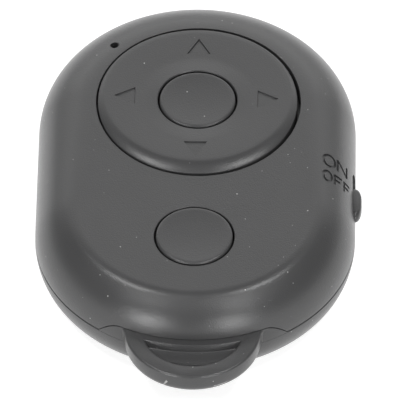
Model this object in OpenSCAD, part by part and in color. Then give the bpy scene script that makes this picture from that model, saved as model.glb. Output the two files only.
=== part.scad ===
// Hand-held wireless shutter remote: a round-ended case with a four-way ring around a
// centre button, a separate shutter button, a side power switch and a strap loop.
// The origin is the centre of the flat underside. +Y points to the ring end, +X to the switch side.

/* [Case] */
// Distance from the coin cell to the side of the case
side_room = 9; // [8:0.5:12]
// Length of the straight stretch between the round ends
body_straight = 16.7; // [15:0.1:22]
// Slope of the top face, which falls towards the loop end, in degrees
top_tilt = 1.9; // [1:0.1:2.4]
// Height of the line where the two case halves meet
seam_z = 5.2; // [4.9:0.1:5.6]
// Thickness of the side walls
wall = 1.5; // [1.2:0.1:1.8]
// Thickness of the top face
roof = 1.5; // [1.2:0.1:1.8]
// Thickness of the underside
floor_t = 1.3; // [1.2:0.05:1.6]
// Width of the shoulder between the top face and the sides
shoulder_run = 11; // [9:0.5:13]
// Height by which the shoulder curve would pass the top face if it were not cut off
shoulder_over = 1; // [0.8:0.1:1.3]
// Roundness of the shoulder, where 2 is an ellipse
shoulder_power = 2.3; // [2:0.1:2.6]
// Width of the rounding under the case
under_run = 4.1; // [3:0.1:4.5]
// Height of the lip that keeps the two halves in line
lip_h = 0.8; // [0.5:0.1:1]
// Clearance between case halves
case_gap = 0.05; // [0.03:0.01:0.1]

/* [Direction ring] */
// Diameter of the ring's hole in the top face
ring_hole_d = 24.4; // [24:0.1:25]
// Distance from the origin to the ring's axis, along the top face
ring_y = 7.5; // [7:0.1:8.5]
// Gap around the ring
ring_gap = 0.25; // [0.2:0.05:0.3]
// Height by which the ring's rim stands proud of the top face
ring_rise = 0.15; // [0.1:0.05:0.3]
// Depth of the dish from the rim to the inner edge
ring_dish = 0.25; // [0.1:0.05:0.4]
// Thickness of the ring's face
ring_t = 1.6; // [1.4:0.1:1.8]
// Width of the flange that keeps the ring in the case
ring_flange = 1; // [0.8:0.1:1.1]
// Distance from the ring's edge to the axes of its four feet
foot_in = 3.55; // [3.5:0.05:3.9]
// Diameter of each foot
foot_d = 2.2; // [1.8:0.1:2.4]
// Travel of a foot when its side of the ring is pressed
foot_travel = 0.25; // [0.2:0.01:0.3]
// Length of each engraved arrow
arrow_l = 2.6; // [2:0.1:3]
// Width of each engraved arrow
arrow_w = 2.8; // [2:0.1:3.2]
// Depth of the engraving
arrow_deep = 0.25; // [0.15:0.05:0.4]

/* [Push buttons] */
// Diameter of the hole around each push button
button_hole_d = 9.5; // [9:0.1:10]
// Gap around each push button
button_gap = 0.2; // [0.15:0.05:0.25]
// Distance from the origin to the shutter button's axis, along the top face
shutter_y = -14.7; // [-16:0.1:-14.5]
// Travel of each push button
button_travel = 0.3; // [0.2:0.05:0.35]
// Width of the flange that keeps a push button in
button_flange = 1; // [0.8:0.1:1.2]

/* [Rocker frame] */
// Depth of the rocking axes under the top face
pivot_depth = 4.2; // [4.1:0.05:4.4]
// Clearance between the frame and the ring's feet
frame_clear = 0.4; // [0.3:0.05:0.6]
// Width of the frame's rim
frame_w = 1.2; // [1:0.1:1.3]
// Thickness of the frame
frame_t = 1.2; // [1.1:0.05:1.3]
// Diameter of the pivot pins
pin_d = 1; // [0.9:0.05:1.1]
// Radial running clearance of the pivot pins
pin_gap = 0.05; // [0.03:0.01:0.08]

/* [Circuit board] */
// Height of the board's underside over the cell, at the origin
board_room = 0.546; // [0.5:0.001:1.5]
// Clearance between the pressed centre button's flange and the switch under it
stem_clear = 0.535; // [0.5:0.005:1]
// Thickness of the board
board_t = 0.8; // [0.6:0.1:1]
// Gap between the board's edge and the case wall
board_gap = 1; // [0.95:0.05:1.1]
// Diameter of a snap dome
dome_d = 5; // [4:0.1:5.2]
// Height of a snap dome
dome_h = 0.4; // [0.3:0.05:0.5]
// Thickness of the dome sheet metal
dome_t = 0.12; // [0.08:0.01:0.15]
// Side of the square button switches
tact_w = 4.5; // [4:0.1:5]
// Height of the button switches without their plungers
tact_h = 1.6; // [1.5:0.05:1.7]
// Height by which a plunger stands out of its switch
plunger_up = 0.4; // [0.4:0.05:0.5]
// Diameter of a plunger
plunger_d = 2; // [1.8:0.1:2.2]

/* [Power switch] */
// Distance from the origin to the middle of the switch slot
power_y = -3.1; // [-3.6:0.1:-2.8]
// Height of the slot's middle over the board's upper face
power_up = 0.75; // [0.7:0.05:0.8]
// Length of the knob
knob_l = 4.85; // [4.4:0.05:5]
// Height of the knob
knob_h = 1.7; // [1.5:0.05:1.8]
// Height by which the knob stands out of the case
knob_out = 0.75; // [0.5:0.05:1]
// Travel of the knob between OFF and ON
power_travel = 2; // [1.5:0.1:2.2]
// Gap between the knob and the slot
knob_gap = 0.1; // [0.08:0.01:0.15]

/* [Strap loop] */
// Radius of the loop's round outline
loop_r = 8.05; // [7.5:0.05:8.5]
// Distance by which the loop stands out past the end of the case
loop_out = 5.85; // [5.5:0.05:6.5]
// Thickness of the loop
loop_t = 2.8; // [2.2:0.1:3.2]
// Height of the loop's upper face over the seam
loop_up = 1.9; // [1.6:0.1:2.2]
// Width of the loop's band at its tip
band_w = 1.95; // [1.6:0.05:2.2]
// Radius of the round side of the strap slot
slot_r = 5.9; // [5.5:0.1:6]
// Width of the rim between the case and the strap slot
slot_rim = 0.6; // [0.5:0.05:0.8]
// Radius of the blend between the loop and the case
blend_r = 2; // [1.5:0.1:2.5]
// Half the width of the raised lip that carries the loop, along its top
lip_half_w = 9.2; // [9:0.1:9.6]
// Run of the ramps at both ends of the raised lip
lip_ramp = 1.6; // [1:0.1:2]

/* [Battery] */
// Diameter of the coin cell
cell_d = 20; // [20:0.1:20.2]
// Thickness of the coin cell
cell_t = 3.2; // [3:0.05:3.25]
// Distance from the origin to the cell's axis
cell_y = 11.4; // [11.2:0.1:11.8]
// Distance by which the battery door reaches past the cell
door_margin = 0.8; // [0.7:0.05:1]
// Gap around the battery door
door_gap = 0.15; // [0.1:0.01:0.2]
// Width of a bayonet lug, in degrees
lug_angle = 24; // [18:1:30]
// Turn that frees the door, in degrees
door_turn = 25; // [20:1:30]

/* [Fasteners] */
// Diameter of the case screws
screw_d = 1.7; // [1.6:0.1:1.8]
// Diameter of the case screw heads
head_d = 2.8; // [2.6:0.1:2.9]
// Diameter of the screw bosses
boss_d = 3.5; // [3.4:0.1:3.6]
// Diameter of the board screws
board_screw_d = 1.2; // [1.2:0.1:1.4]

/* [Hidden] */
$fn = 96;
SMALL_FN = 32;
EDGE_STEPS = 14;
ROUND_STEPS = 5;

case_grey = [0.36, 0.36, 0.37];
key_grey = [0.34, 0.34, 0.35];
steel = [0.75, 0.76, 0.78];
board_green = [0.05, 0.32, 0.18];
chip_black = [0.09, 0.09, 0.1];
gold = [0.83, 0.68, 0.36];

// Overrun of every cut past the face it opens
over = 0.5;
// Difference in height that counts as none
tiny = 0.0001;
// A size well past the case, for the half spaces that trim it
far = 8 * cell_d;
// Width of the case, which is also the diameter of its round ends
body_w = cell_d + 2 * side_room;
half_w = body_w / 2;
end_y = body_straight / 2;
// Play between inner pieces that all but touch
touch = 0.05;

// Ring levels, as depths under the top face
ring_r = ring_hole_d / 2 - ring_gap;
ring_wall = 1.1;
flange_t = 0.9;
flange_gap = 0.6;
flange_top = roof + flange_gap;
ring_base = flange_top + flange_t;
flange_r = ring_hole_d / 2 + ring_flange - ring_gap;
foot_r = ring_r - foot_in;
rock_angle = asin(foot_travel / foot_r);

// Button levels, and the board's depth that they give
button_r = button_hole_d / 2 - button_gap;
centre_flange_t = 0.65;
centre_flange_gap = 0.25;
centre_flange_top = ring_base + (button_r + button_flange) * sin(rock_angle) + centre_flange_gap;
board_depth = centre_flange_top + centre_flange_t + button_travel + stem_clear + tact_h;
plunger_top = board_depth - tact_h - plunger_up;
dome_top = board_depth - dome_h;
stem_d = 3.2;
press_gap = 0.03;
shutter_flange_t = 0.75;
shutter_flange_top = roof + centre_flange_gap;
cap_crown = 0.12;
cap_rise = 0.05;
cap_edge = 0.25;

// Height of the top face over the origin: the cell, the board and the buttons stacked up
cell_z = floor_t + touch;
top_z = cell_z + cell_t + board_room + (board_depth + board_t) / cos(top_tilt);
apex_z = top_z + shoulder_over;
loop_top_z = seam_z + loop_up;

// Points of the shoulder from the seam up, pushed inwards by inset
function shoulder(inset) = [for (i = [0:EDGE_STEPS]) let (
    a = 90 * i / EDGE_STEPS,
    u = pow(max(cos(a), 0), 2 / shoulder_power),
    v = pow(sin(a), 2 / shoulder_power),
    nu = pow(max(cos(a), 0), 2 - 2 / shoulder_power) / shoulder_run,
    nv = pow(sin(a), 2 - 2 / shoulder_power) / (apex_z - seam_z),
    n = norm([nu, nv]))
    [half_w - shoulder_run * (1 - u) - inset * nu / n, seam_z + (apex_z - seam_z) * v - inset * nv / n]];

// Points of the rounding under the case from the seam down, pushed inwards by inset
function underside(inset) = [for (i = [0:EDGE_STEPS]) let (
    a = 90 * i / EDGE_STEPS,
    nu = cos(a) / under_run,
    nv = sin(a) / seam_z,
    n = norm([nu, nv]))
    [half_w - under_run * (1 - cos(a)) - inset * nu / n, seam_z * (1 - sin(a)) + inset * nv / n]];

// A round-ended solid whose half section is given as points of radius and height
module round_ended(points) {
    for (side = [1, -1])
        translate([0, side * end_y, 0])
            rotate([0, 0, side > 0 ? 0 : 180])
                rotate_extrude(angle = 180)
                    polygon(points);
    rotate([90, 0, 0])
        linear_extrude(height = body_straight, center = true)
            union() {
                polygon(points);
                mirror([1, 0])
                    polygon(points);
            }
}

// Places children in the frame of the sloping top face, where height 0 is the face
module key_frame() {
    translate([0, 0, top_z])
        rotate([top_tilt, 0, 0])
            children();
}

// Everything above a depth under the top face
module above(depth) {
    key_frame()
        translate([-far, -far, -depth])
            cube([2 * far, 2 * far, far]);
}

module upper_solid(inset, depth) {
    pts = shoulder(inset);
    difference() {
        round_ended(concat([[0, seam_z]], pts, [[0, pts[EDGE_STEPS][1]]]));
        above(depth);
    }
}

// Part of a falling line of points above base_z, ended on base_z
function down_to(pts, base_z) = let (
    kept = [for (p = pts) if (p[1] > base_z + tiny) p],
    n = len(kept),
    last = pts[n - 1],
    next = n < len(pts) ? pts[n] : [last[0], base_z])
    concat(kept, [last + (next - last) * (last[1] - base_z) / (last[1] - next[1])]);

module lower_solid(inset, base_z) {
    round_ended(concat([[0, seam_z]], down_to(underside(inset), base_z), [[0, base_z]]));
}

// Triangles that close a ring of n points, which is symmetrical about X 0
function ring_cap(n, first, up) = [for (i = [0:floor(n / 2) - 1]) let (j = n - 1 - i)
    for (t = i + 1 < j - 1 ? [[i, j - 1, j], [i, i + 1, j - 1]] : [[i, j - 1, j]])
        up ? [first + t[0], first + t[1], first + t[2]] : [first + t[2], first + t[1], first + t[0]]];

// Closed solid through rings of points, each ring clockwise from above and the lowest first
module loft(rings) {
    n = len(rings[0]);
    m = len(rings);
    polyhedron(
        points = [for (ring = rings) for (p = ring) p],
        faces = concat(
            ring_cap(n, (m - 1) * n, true),
            ring_cap(n, 0, false),
            [for (k = [0:m - 2]) for (i = [0:n - 1]) let (j = (i + 1) % n)
                [k * n + i, k * n + j, (k + 1) * n + j]],
            [for (k = [0:m - 2]) for (i = [0:n - 1]) let (j = (i + 1) % n)
                [k * n + i, (k + 1) * n + j, (k + 1) * n + i]]));
}

module tube(outer_d, inner_d, h) {
    difference() {
        cylinder(d = outer_d, h = h);
        translate([0, 0, -over])
            cylinder(d = inner_d, h = h + 2 * over);
    }
}

// The lap joint: half the wall, less a clearance
lip_w = wall / 2;
module lip_ring(outer_inset, inner_inset, z0, h) {
    round_ended([[half_w - inner_inset, z0], [half_w - outer_inset, z0],
        [half_w - outer_inset, z0 + h], [half_w - inner_inset, z0 + h]]);
}

// The raised part of the lower half at the loop end, seen along Y
module raised_lip(grow) {
    h = loop_up + grow;
    run = lip_ramp;
    translate([0, -end_y, seam_z])
        rotate([90, 0, 0])
            linear_extrude(height = far)
                polygon([[-lip_half_w - run - grow, -over], [-lip_half_w - run - grow, 0],
                    [-lip_half_w - grow, h], [lip_half_w + grow, h],
                    [lip_half_w + run + grow, 0], [lip_half_w + run + grow, -over]]);
}

// Screw and post places: the far bosses stand beside the battery door, the near ones beside the wall
door_d = cell_d + 2 * door_margin;
far_boss_gap = 0.3;
far_boss_turn = 53.2;
far_boss_r = door_d / 2 + far_boss_gap + boss_d / 2;
case_boss_in = 3.6;
case_boss_turn_near = 38;
near_boss_r = half_w - case_boss_in - wall;
near_boss_x = near_boss_r * cos(case_boss_turn_near);
near_boss_y = -end_y - near_boss_r * sin(case_boss_turn_near);
boss_places = [
    [far_boss_r * cos(far_boss_turn), cell_y + far_boss_r * sin(far_boss_turn)],
    [-far_boss_r * cos(far_boss_turn), cell_y + far_boss_r * sin(far_boss_turn)],
    [near_boss_x, near_boss_y],
    [-near_boss_x, near_boss_y]];
screw_gap = 0.02;
head_h = 1;
head_sink = 0.7;
screw_reach = 3;
screw_tip_z = seam_z + screw_reach;
post_d = 3;
// Distance from a post's axis to the inner wall beside it
post_side_in = 4.4;
post_end_in = 3;
post_back = 2;
post_x = half_w - wall - post_side_in;
post_places = [[post_x, -end_y - post_back], [-post_x, -end_y - post_back],
    [0, end_y + half_w - wall - post_end_in]];
board_screw_l = 3.4;
board_head_h = 0.5;
board_head_d = 2 * board_screw_d;

// Ears and lugs of the rocking axes
ear_t = 1.1;
ear_w = 2.6;
ear_drop = 1;
frame_bore = 2 * foot_r + foot_d + 2 * frame_clear;
frame_r = frame_bore / 2 + frame_w;
lug_clear = 0.4;
lug_y = frame_r + lug_clear;
lug_t = 1;
ear_clear = 0.6;
ear_x = flange_r + ear_clear;

// Board outline
board_r = half_w - wall - board_gap;
notch_gap = 0.35;

// Power switch
lever_w = 1.3;
lever_h = 0.7;
lever_l = 1.5;
slide_l = 6.7;
slide_w = 2.8;
slide_h = 1.4;
slide_skin = 0.2;
knob_plate_t = 0.4;
knob_plate_h = 2.3;
knob_plate_gap = 0.48;
knob_plate_grow = 0.8;
slide_edge_x = board_r;
knob_inner_x = half_w - wall - knob_plate_gap - knob_plate_t;
power_depth = board_depth - power_up;

// Light pipe, beside the ring on the far left
pipe_turn = 137;
pipe_out = 1.8;
pipe_r = ring_hole_d / 2 + pipe_out;
pipe_d = 1;
pipe_gap = 0.03;
pipe_x = pipe_r * cos(pipe_turn);
pipe_y = ring_y + pipe_r * sin(pipe_turn);
pipe_sink = 0.9;
led_h = 0.6;
led_l = 1.6;
led_w = 0.8;

// Battery bay
cell_gap = 0.25;
bay_r = cell_d / 2 + cell_gap;
bay_wall = 2.1;
bay_share = 0.8;
bay_top_z = cell_z + bay_share * cell_t;
door_skin = 0.7;
// Direction of the first lug, so that the tracks pass between the far screws
lug_start = 90 + door_turn / 2;
lug_reach = 0.8;
lug_r = door_d / 2 + lug_reach;
lug_gap = 0.05;
lug_h = floor_t - door_skin - 3 * lug_gap;
coin_slot_l = 9;
coin_slot_w = 1.6;
coin_slot_deep = 0.5;
contact_t = 0.2;
contact_w = 4;

function z_on_plane(y, depth) = top_z + y * tan(top_tilt) - depth / cos(top_tilt);

module ring_arrow() {
    translate([foot_r, 0, 0])
        linear_extrude(height = far)
            polygon([[-arrow_l / 2, -arrow_w / 2], [arrow_l / 2, 0], [-arrow_l / 2, arrow_w / 2]]);
}

module strap_slot(grow) {
    difference() {
        translate([0, -end_y - half_w - loop_out + band_w + slot_r, loop_top_z - loop_t - far / 2])
            cylinder(r = slot_r + grow, h = far);
        translate([0, -end_y, -far])
            cylinder(r = half_w + slot_rim, h = 2 * far);
    }
}

// Outline of the loop: a blend out of the case, the round end, and a blend back
BLEND_STEPS = 6;
LOOP_STEPS = 32;
loop_y = -end_y - half_w - loop_out + loop_r;
loop_span = -end_y - loop_y;
case_reach = half_w + blend_r;
loop_reach = loop_r + blend_r;
blend_down = (loop_span * loop_span + case_reach * case_reach - loop_reach * loop_reach) / (2 * loop_span);
blend_x = sqrt(case_reach * case_reach - blend_down * blend_down);
blend_y = -end_y - blend_down;
blend_from = atan2(blend_down, -blend_x);
blend_to = atan2(loop_y - blend_y, -blend_x);
loop_from = atan2(blend_y - loop_y, blend_x);
loop_to = -180 - loop_from;

function loop_blend(inset, side) = [for (i = [0:BLEND_STEPS]) let (
    t = side > 0 ? i / BLEND_STEPS : 1 - i / BLEND_STEPS,
    a = blend_from + (blend_to - blend_from) * t)
    [side * (blend_x + (blend_r + inset) * cos(a)), blend_y + (blend_r + inset) * sin(a)]];
function loop_round(inset) = [for (i = [1:LOOP_STEPS - 1]) let (
    a = loop_from + (loop_to - loop_from) * i / LOOP_STEPS)
    [(loop_r - inset) * cos(a), loop_y + (loop_r - inset) * sin(a)]];
function loop_outline(inset) = concat(loop_blend(inset, 1), loop_round(inset), loop_blend(inset, -1));
function loop_ring(inset, z) = [for (p = loop_outline(inset)) [p[0], p[1], z]];

// The loop before the case and the strap slot are cut out of it
loop_low_edge = 1.2;
loop_high_edge = 0.3;
module loop_plate() {
    z0 = loop_top_z - loop_t;
    loft(concat(
        [for (i = [0:ROUND_STEPS]) let (a = 90 * i / ROUND_STEPS)
            loop_ring(loop_low_edge * (1 - sin(a)), z0 + loop_low_edge * (1 - cos(a)))],
        [for (i = [0:2]) let (a = 90 * i / 2)
            loop_ring(loop_high_edge * (1 - cos(a)), loop_top_z - loop_high_edge * (1 - sin(a)))]));
}

// A bar with round ends along Y, standing out along X
module capsule_x(l, h, depth) {
    translate([0, -(l - h) / 2, -h / 2])
        cube([depth, l - h, h]);
    for (side = [1, -1])
        translate([0, side * (l - h) / 2, 0])
            rotate([0, 90, 0])
                cylinder(d = h, h = depth, $fn = SMALL_FN);
}

module power_slot() {
    key_frame()
        translate([half_w - wall - over, power_y, -power_depth])
            capsule_x(knob_l + power_travel + 2 * knob_gap, knob_h + 2 * knob_gap, wall + 2 * over);
}

module upper_half() {
    union() {
        difference() {
            upper_solid(0, 0);
            upper_solid(wall, roof);
            translate([0, 0, seam_z])
                lip_ring(lip_w - case_gap, 2 * wall, -over, lip_h + case_gap + over);
            raised_lip(case_gap);
            power_slot();
            key_frame() {
                translate([0, ring_y, -far / 2])
                    cylinder(d = ring_hole_d, h = far);
                translate([0, shutter_y, -far / 2])
                    cylinder(d = button_hole_d, h = far);
                translate([pipe_x, pipe_y, -far / 2])
                    cylinder(d = pipe_d + 2 * pipe_gap, h = far, $fn = SMALL_FN);
            }
        }
        // Screw bosses, board posts and the ears for the rocker frame hang from the top face
        intersection() {
            upper_solid(wall / 2, roof / 2);
            union() {
                for (p = boss_places)
                    translate([p[0], p[1], seam_z + case_gap])
                        cylinder(d = boss_d, h = far, $fn = SMALL_FN);
                key_frame()
                    for (p = post_places)
                        translate([p[0], p[1], -board_depth])
                            difference() {
                                cylinder(d = post_d, h = board_depth - roof / 2, $fn = SMALL_FN);
                                translate([0, 0, -over])
                                    cylinder(d = board_screw_d + 2 * screw_gap, h = board_screw_l,
                                        $fn = SMALL_FN);
                            }
                key_frame()
                    for (side = [1, -1])
                        translate([side * (ear_x + ear_t / 2), ring_y, -pivot_depth])
                            difference() {
                                translate([-ear_t / 2, -ear_w / 2, -ear_drop])
                                    cube([ear_t, ear_w, pivot_depth + ear_drop - roof / 2]);
                                rotate([0, 90, 0])
                                    cylinder(d = pin_d + 2 * pin_gap, h = ear_t + 2 * over, center = true,
                                        $fn = SMALL_FN);
                            }
            }
        }
    }
}

module top_shell() {
    color(case_grey)
        difference() {
            upper_half();
            for (p = boss_places)
                translate([p[0], p[1], seam_z - over])
                    cylinder(d = screw_d + 2 * screw_gap, h = screw_tip_z - seam_z + 2 * over,
                        $fn = SMALL_FN);
        }
}

// Entry and track of the bayonet lugs in the lower half
module bayonet_cuts() {
    r0 = bay_r - over;
    r1 = lug_r + door_gap;
    slack = 1;
    for (i = [0:2])
        rotate([0, 0, lug_start + 120 * i]) {
            rotate([0, 0, -lug_angle / 2 - slack - door_turn])
                rotate_extrude(angle = lug_angle + door_turn + 2 * slack)
                    polygon([[r0, door_skin], [r1, door_skin], [r1, floor_t], [r0, floor_t]]);
            rotate([0, 0, -lug_angle / 2 - slack - door_turn])
                rotate_extrude(angle = lug_angle + 2 * slack)
                    polygon([[r0, -over], [r1, -over], [r1, floor_t], [r0, floor_t]]);
        }
}

module bottom_shell() {
    color(case_grey)
        difference() {
            union() {
                difference() {
                    lower_solid(0, 0);
                    lower_solid(wall, floor_t);
                }
                // Lip that the upper half slides over
                translate([0, 0, seam_z])
                    lip_ring(lip_w, wall, -over, lip_h + over);
                // Raised part that carries the strap loop
                intersection() {
                    raised_lip(0);
                    difference() {
                        upper_solid(0, 0);
                        upper_solid(wall, roof);
                    }
                }
                difference() {
                    loop_plate();
                    upper_solid(wall / 2, 0);
                    lower_solid(wall / 2, 0);
                }
                // Wall of the battery bay
                translate([0, cell_y, 0])
                    tube(2 * (bay_r + bay_wall), 2 * bay_r, bay_top_z);
                for (p = boss_places)
                    translate([p[0], p[1], 0])
                        cylinder(d = boss_d, h = seam_z, $fn = SMALL_FN);
            }
            strap_slot(0);
            power_slot();
            for (p = boss_places)
                translate([p[0], p[1], 0]) {
                    translate([0, 0, -over])
                        cylinder(d = screw_d + 4 * screw_gap, h = seam_z + 2 * over, $fn = SMALL_FN);
                    translate([0, 0, -over])
                        cylinder(d = head_d + 4 * screw_gap, h = head_sink + head_h + over, $fn = SMALL_FN);
                }
            translate([0, cell_y, 0]) {
                translate([0, 0, -over])
                    cylinder(d = door_d + 2 * door_gap, h = door_skin + over);
                translate([0, 0, -over])
                    cylinder(r = bay_r, h = bay_top_z + 2 * over);
                bayonet_cuts();
            }
            // Window for the positive contact
            translate([-contact_w / 2 - cell_gap, cell_y - bay_r - bay_wall - over, floor_t])
                cube([contact_w + 2 * cell_gap, bay_wall + 2 * over, far]);
        }
}

module direction_ring() {
    inner_r = button_hole_d / 2;
    edge = 0.4;
    rim_arc = [for (i = [0:ROUND_STEPS]) let (a = 90 * i / ROUND_STEPS)
        [ring_r - edge + edge * cos(a), ring_rise - edge + edge * sin(a)]];
    color(key_grey)
        key_frame()
            translate([0, ring_y, 0]) {
                difference() {
                    rotate_extrude()
                        polygon(concat(
                            [[inner_r, -ring_base], [inner_r, ring_rise - ring_dish]],
                            [for (i = [ROUND_STEPS:-1:0]) rim_arc[i]],
                            [[ring_r, -flange_top], [flange_r, -flange_top], [flange_r, -ring_base],
                            [ring_r - ring_wall, -ring_base], [ring_r - ring_wall, -ring_t],
                            [inner_r + ring_wall, -ring_t], [inner_r + ring_wall, -ring_base]]));
                    for (i = [0:3])
                        rotate([0, 0, 90 * i])
                            translate([0, 0, -arrow_deep])
                                ring_arrow();
                }
                for (i = [0:3])
                    rotate([0, 0, 90 * i])
                        translate([foot_r, 0, -dome_top + touch])
                            cylinder(d = foot_d, h = dome_top - touch - ring_t / 2, $fn = SMALL_FN);
                // Lugs with the bores for the frame's pins
                for (side = [1, -1])
                    translate([0, side * (lug_y + lug_t / 2), -pivot_depth])
                        difference() {
                            translate([-ear_w / 2, -lug_t / 2, -ear_drop])
                                cube([ear_w, lug_t, pivot_depth + ear_drop - ring_base + flange_t / 2]);
                            rotate([90, 0, 0])
                                cylinder(d = pin_d + 2 * pin_gap, h = lug_t + 2 * over, center = true,
                                    $fn = SMALL_FN);
                        }
            }
}

module rocker_frame() {
    color("dimgray")
        key_frame()
            translate([0, ring_y, -pivot_depth]) {
                translate([0, 0, -frame_t / 2])
                    tube(2 * frame_r, frame_bore, frame_t);
                for (side = [1, -1]) {
                    translate([side * (frame_r - frame_w / 2), 0, 0])
                        rotate([0, side * 90, 0])
                            cylinder(d = pin_d, h = ear_x + ear_t - frame_r + frame_w / 2, $fn = SMALL_FN);
                    translate([0, side * (frame_r - frame_w / 2), 0])
                        rotate([-side * 90, 0, 0])
                            cylinder(d = pin_d, h = lug_y + lug_t - frame_r + frame_w / 2, $fn = SMALL_FN);
                }
            }
}

// A push button: a crowned cap, a flange that keeps it in, and a stem down to its switch
module push_button(cap_top, flange_depth, flange_h) {
    stem_end = plunger_top - press_gap;
    rotate_extrude()
        polygon([[0, -stem_end], [stem_d / 2, -stem_end], [stem_d / 2, -flange_depth - flange_h],
            [button_r + button_flange, -flange_depth - flange_h],
            [button_r + button_flange, -flange_depth], [button_r, -flange_depth],
            [button_r, cap_top - cap_edge], [button_r - cap_edge, cap_top],
            [button_r / 2, cap_top + cap_crown * 3 / 4], [0, cap_top + cap_crown]]);
}

module centre_button() {
    color(key_grey)
        key_frame()
            translate([0, ring_y, 0])
                push_button(ring_rise - ring_dish, centre_flange_top, centre_flange_t);
}

module shutter_button() {
    color(key_grey)
        key_frame()
            translate([0, shutter_y, 0])
                push_button(cap_rise, shutter_flange_top, shutter_flange_t);
}

module circuit_board() {
    color(board_green)
        key_frame()
            translate([0, 0, -board_depth - board_t])
                difference() {
                    union() {
                        for (side = [1, -1])
                            translate([0, side * end_y, 0])
                                cylinder(r = board_r, h = board_t);
                        translate([-board_r, -end_y, 0])
                            cube([2 * board_r, 2 * end_y, board_t]);
                    }
                    for (p = boss_places)
                        translate([p[0], p[1], -over])
                            cylinder(d = boss_d + 2 * notch_gap, h = board_t + 2 * over, $fn = SMALL_FN);
                    for (p = post_places)
                        translate([p[0], p[1], -over])
                            cylinder(d = board_screw_d + 4 * screw_gap, h = board_t + 2 * over,
                                $fn = SMALL_FN);
                }
}

// A snap dome: a shallow cap of sheet metal, standing on the board
module snap_dome(turn) {
    r = (dome_d * dome_d / 4 + dome_h * dome_h) / (2 * dome_h);
    half = asin(dome_d / 2 / r);
    steps = ROUND_STEPS;
    outer = [for (i = [0:steps]) let (a = half * i / steps) [r * sin(a), dome_h - r + r * cos(a)]];
    inner = [for (i = [steps:-1:0]) let (a = half * i / steps)
        [r * sin(a) - (i == 0 ? 0 : dome_t * sin(a)), max(dome_h - r + r * cos(a) - dome_t, 0)]];
    color(steel)
        key_frame()
            translate([0, ring_y, -board_depth])
                rotate([0, 0, turn])
                    translate([foot_r, 0, 0])
                        rotate_extrude()
                            polygon(concat(outer, inner));
}

module dome_up() { snap_dome(90); }
module dome_down() { snap_dome(-90); }
module dome_left() { snap_dome(180); }
module dome_right() { snap_dome(0); }

// A button switch: a square can with a round well for its plunger
module tact_switch(y) {
    color(steel)
        key_frame()
            translate([0, y, -board_depth])
                difference() {
                    translate([-tact_w / 2, -tact_w / 2, 0])
                        cube([tact_w, tact_w, tact_h]);
                    translate([0, 0, tact_h / 4])
                        cylinder(d = plunger_d + 2 * pin_gap, h = tact_h, $fn = SMALL_FN);
                }
}

module tact_plunger(y) {
    color("ivory")
        key_frame()
            translate([0, y, -board_depth + tact_h / 4 + button_travel + touch])
                cylinder(d = plunger_d, h = 3 * tact_h / 4 - button_travel - touch + plunger_up,
                    $fn = SMALL_FN);
}

module centre_switch() { tact_switch(ring_y); }
module centre_plunger() { tact_plunger(ring_y); }
module shutter_switch() { tact_switch(shutter_y); }
module shutter_plunger() { tact_plunger(shutter_y); }

// Lever at the OFF end, nearest the loop
lever_y = power_y - power_travel / 2;
slide_x0 = slide_edge_x - slide_w;

module slide_switch() {
    window = lever_w + power_travel + 2 * knob_gap;
    color(steel)
        key_frame()
            translate([slide_x0, power_y, -board_depth])
                difference() {
                    translate([0, -slide_l / 2, 0])
                        cube([slide_w, slide_l, slide_h]);
                    translate([slide_w / 3, -window / 2, power_up - lever_h / 2 - knob_gap / 2])
                        cube([slide_w, window, lever_h + knob_gap]);
                }
}

module slide_lever() {
    x0 = slide_x0 + slide_w / 3 + knob_gap;
    color("ivory")
        key_frame()
            translate([x0, lever_y - lever_w / 2, -power_depth - lever_h / 2])
                cube([slide_edge_x + lever_l - x0, lever_w, lever_h]);
}

module power_knob() {
    nub = 0.35;
    lever_end = slide_edge_x + lever_l;
    color(key_grey)
        key_frame()
            translate([0, lever_y, -power_depth])
                difference() {
                    union() {
                        translate([knob_inner_x, 0, 0])
                            capsule_x(knob_l, knob_h, half_w + knob_out - nub - knob_inner_x);
                        translate([half_w + knob_out - nub, 0, 0])
                            capsule_x(knob_l - nub, knob_h - nub, nub);
                        translate([knob_inner_x, -knob_l / 2 - knob_plate_grow, -knob_plate_h / 2])
                            cube([knob_plate_t, knob_l + 2 * knob_plate_grow, knob_plate_h]);
                    }
                    // Pocket for the switch's own lever
                    translate([knob_inner_x - over, -lever_w / 2, -lever_h / 2])
                        cube([lever_end - knob_inner_x + over, lever_w, lever_h]);
                    // Finger groove across the middle
                    translate([half_w + knob_out + nub / 2, 0, -knob_h / 2 - over])
                        cylinder(d = 2 * nub, h = knob_h + 2 * over, $fn = SMALL_FN);
                }
}

chip_side = 5;
chip_h = 0.85;
// The chip stands beside the screw boss on its left
chip_gap = 0.1;
chip_in = 2.45;
chip_x = chip_in - near_boss_x;
chip_y = near_boss_y + boss_d / 2 + chip_gap + chip_side / 2;
crystal_l = 3.2;
crystal_w = 1.5;
crystal_h = 0.8;
cap_l = 1;
cap_w = 0.5;
cap_h = 0.5;
cap_pitch = 1.3;
cap_count = 5;
cap_forward = 2;

module radio_chip() {
    color(chip_black)
        key_frame()
            translate([chip_x, chip_y, -board_depth])
                translate([-chip_side / 2, -chip_side / 2, 0])
                    cube([chip_side, chip_side, chip_h]);
}

module crystal() {
    color(steel)
        key_frame()
            translate([chip_x + crystal_w / 2, chip_y - chip_side / 2 - cap_l - crystal_l, -board_depth])
                cube([crystal_w, crystal_l, crystal_h]);
}

module chip_capacitors() {
    color("tan")
        key_frame()
            for (i = [0:cap_count - 1])
                translate([-chip_x - cap_l / 2, -end_y + cap_forward - i * cap_pitch, -board_depth])
                    cube([cap_l, cap_w, cap_h]);
}

module status_led() {
    color("white")
        key_frame()
            translate([pipe_x - led_l / 2, pipe_y - led_w / 2, -board_depth])
                cube([led_l, led_w, led_h]);
}

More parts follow.
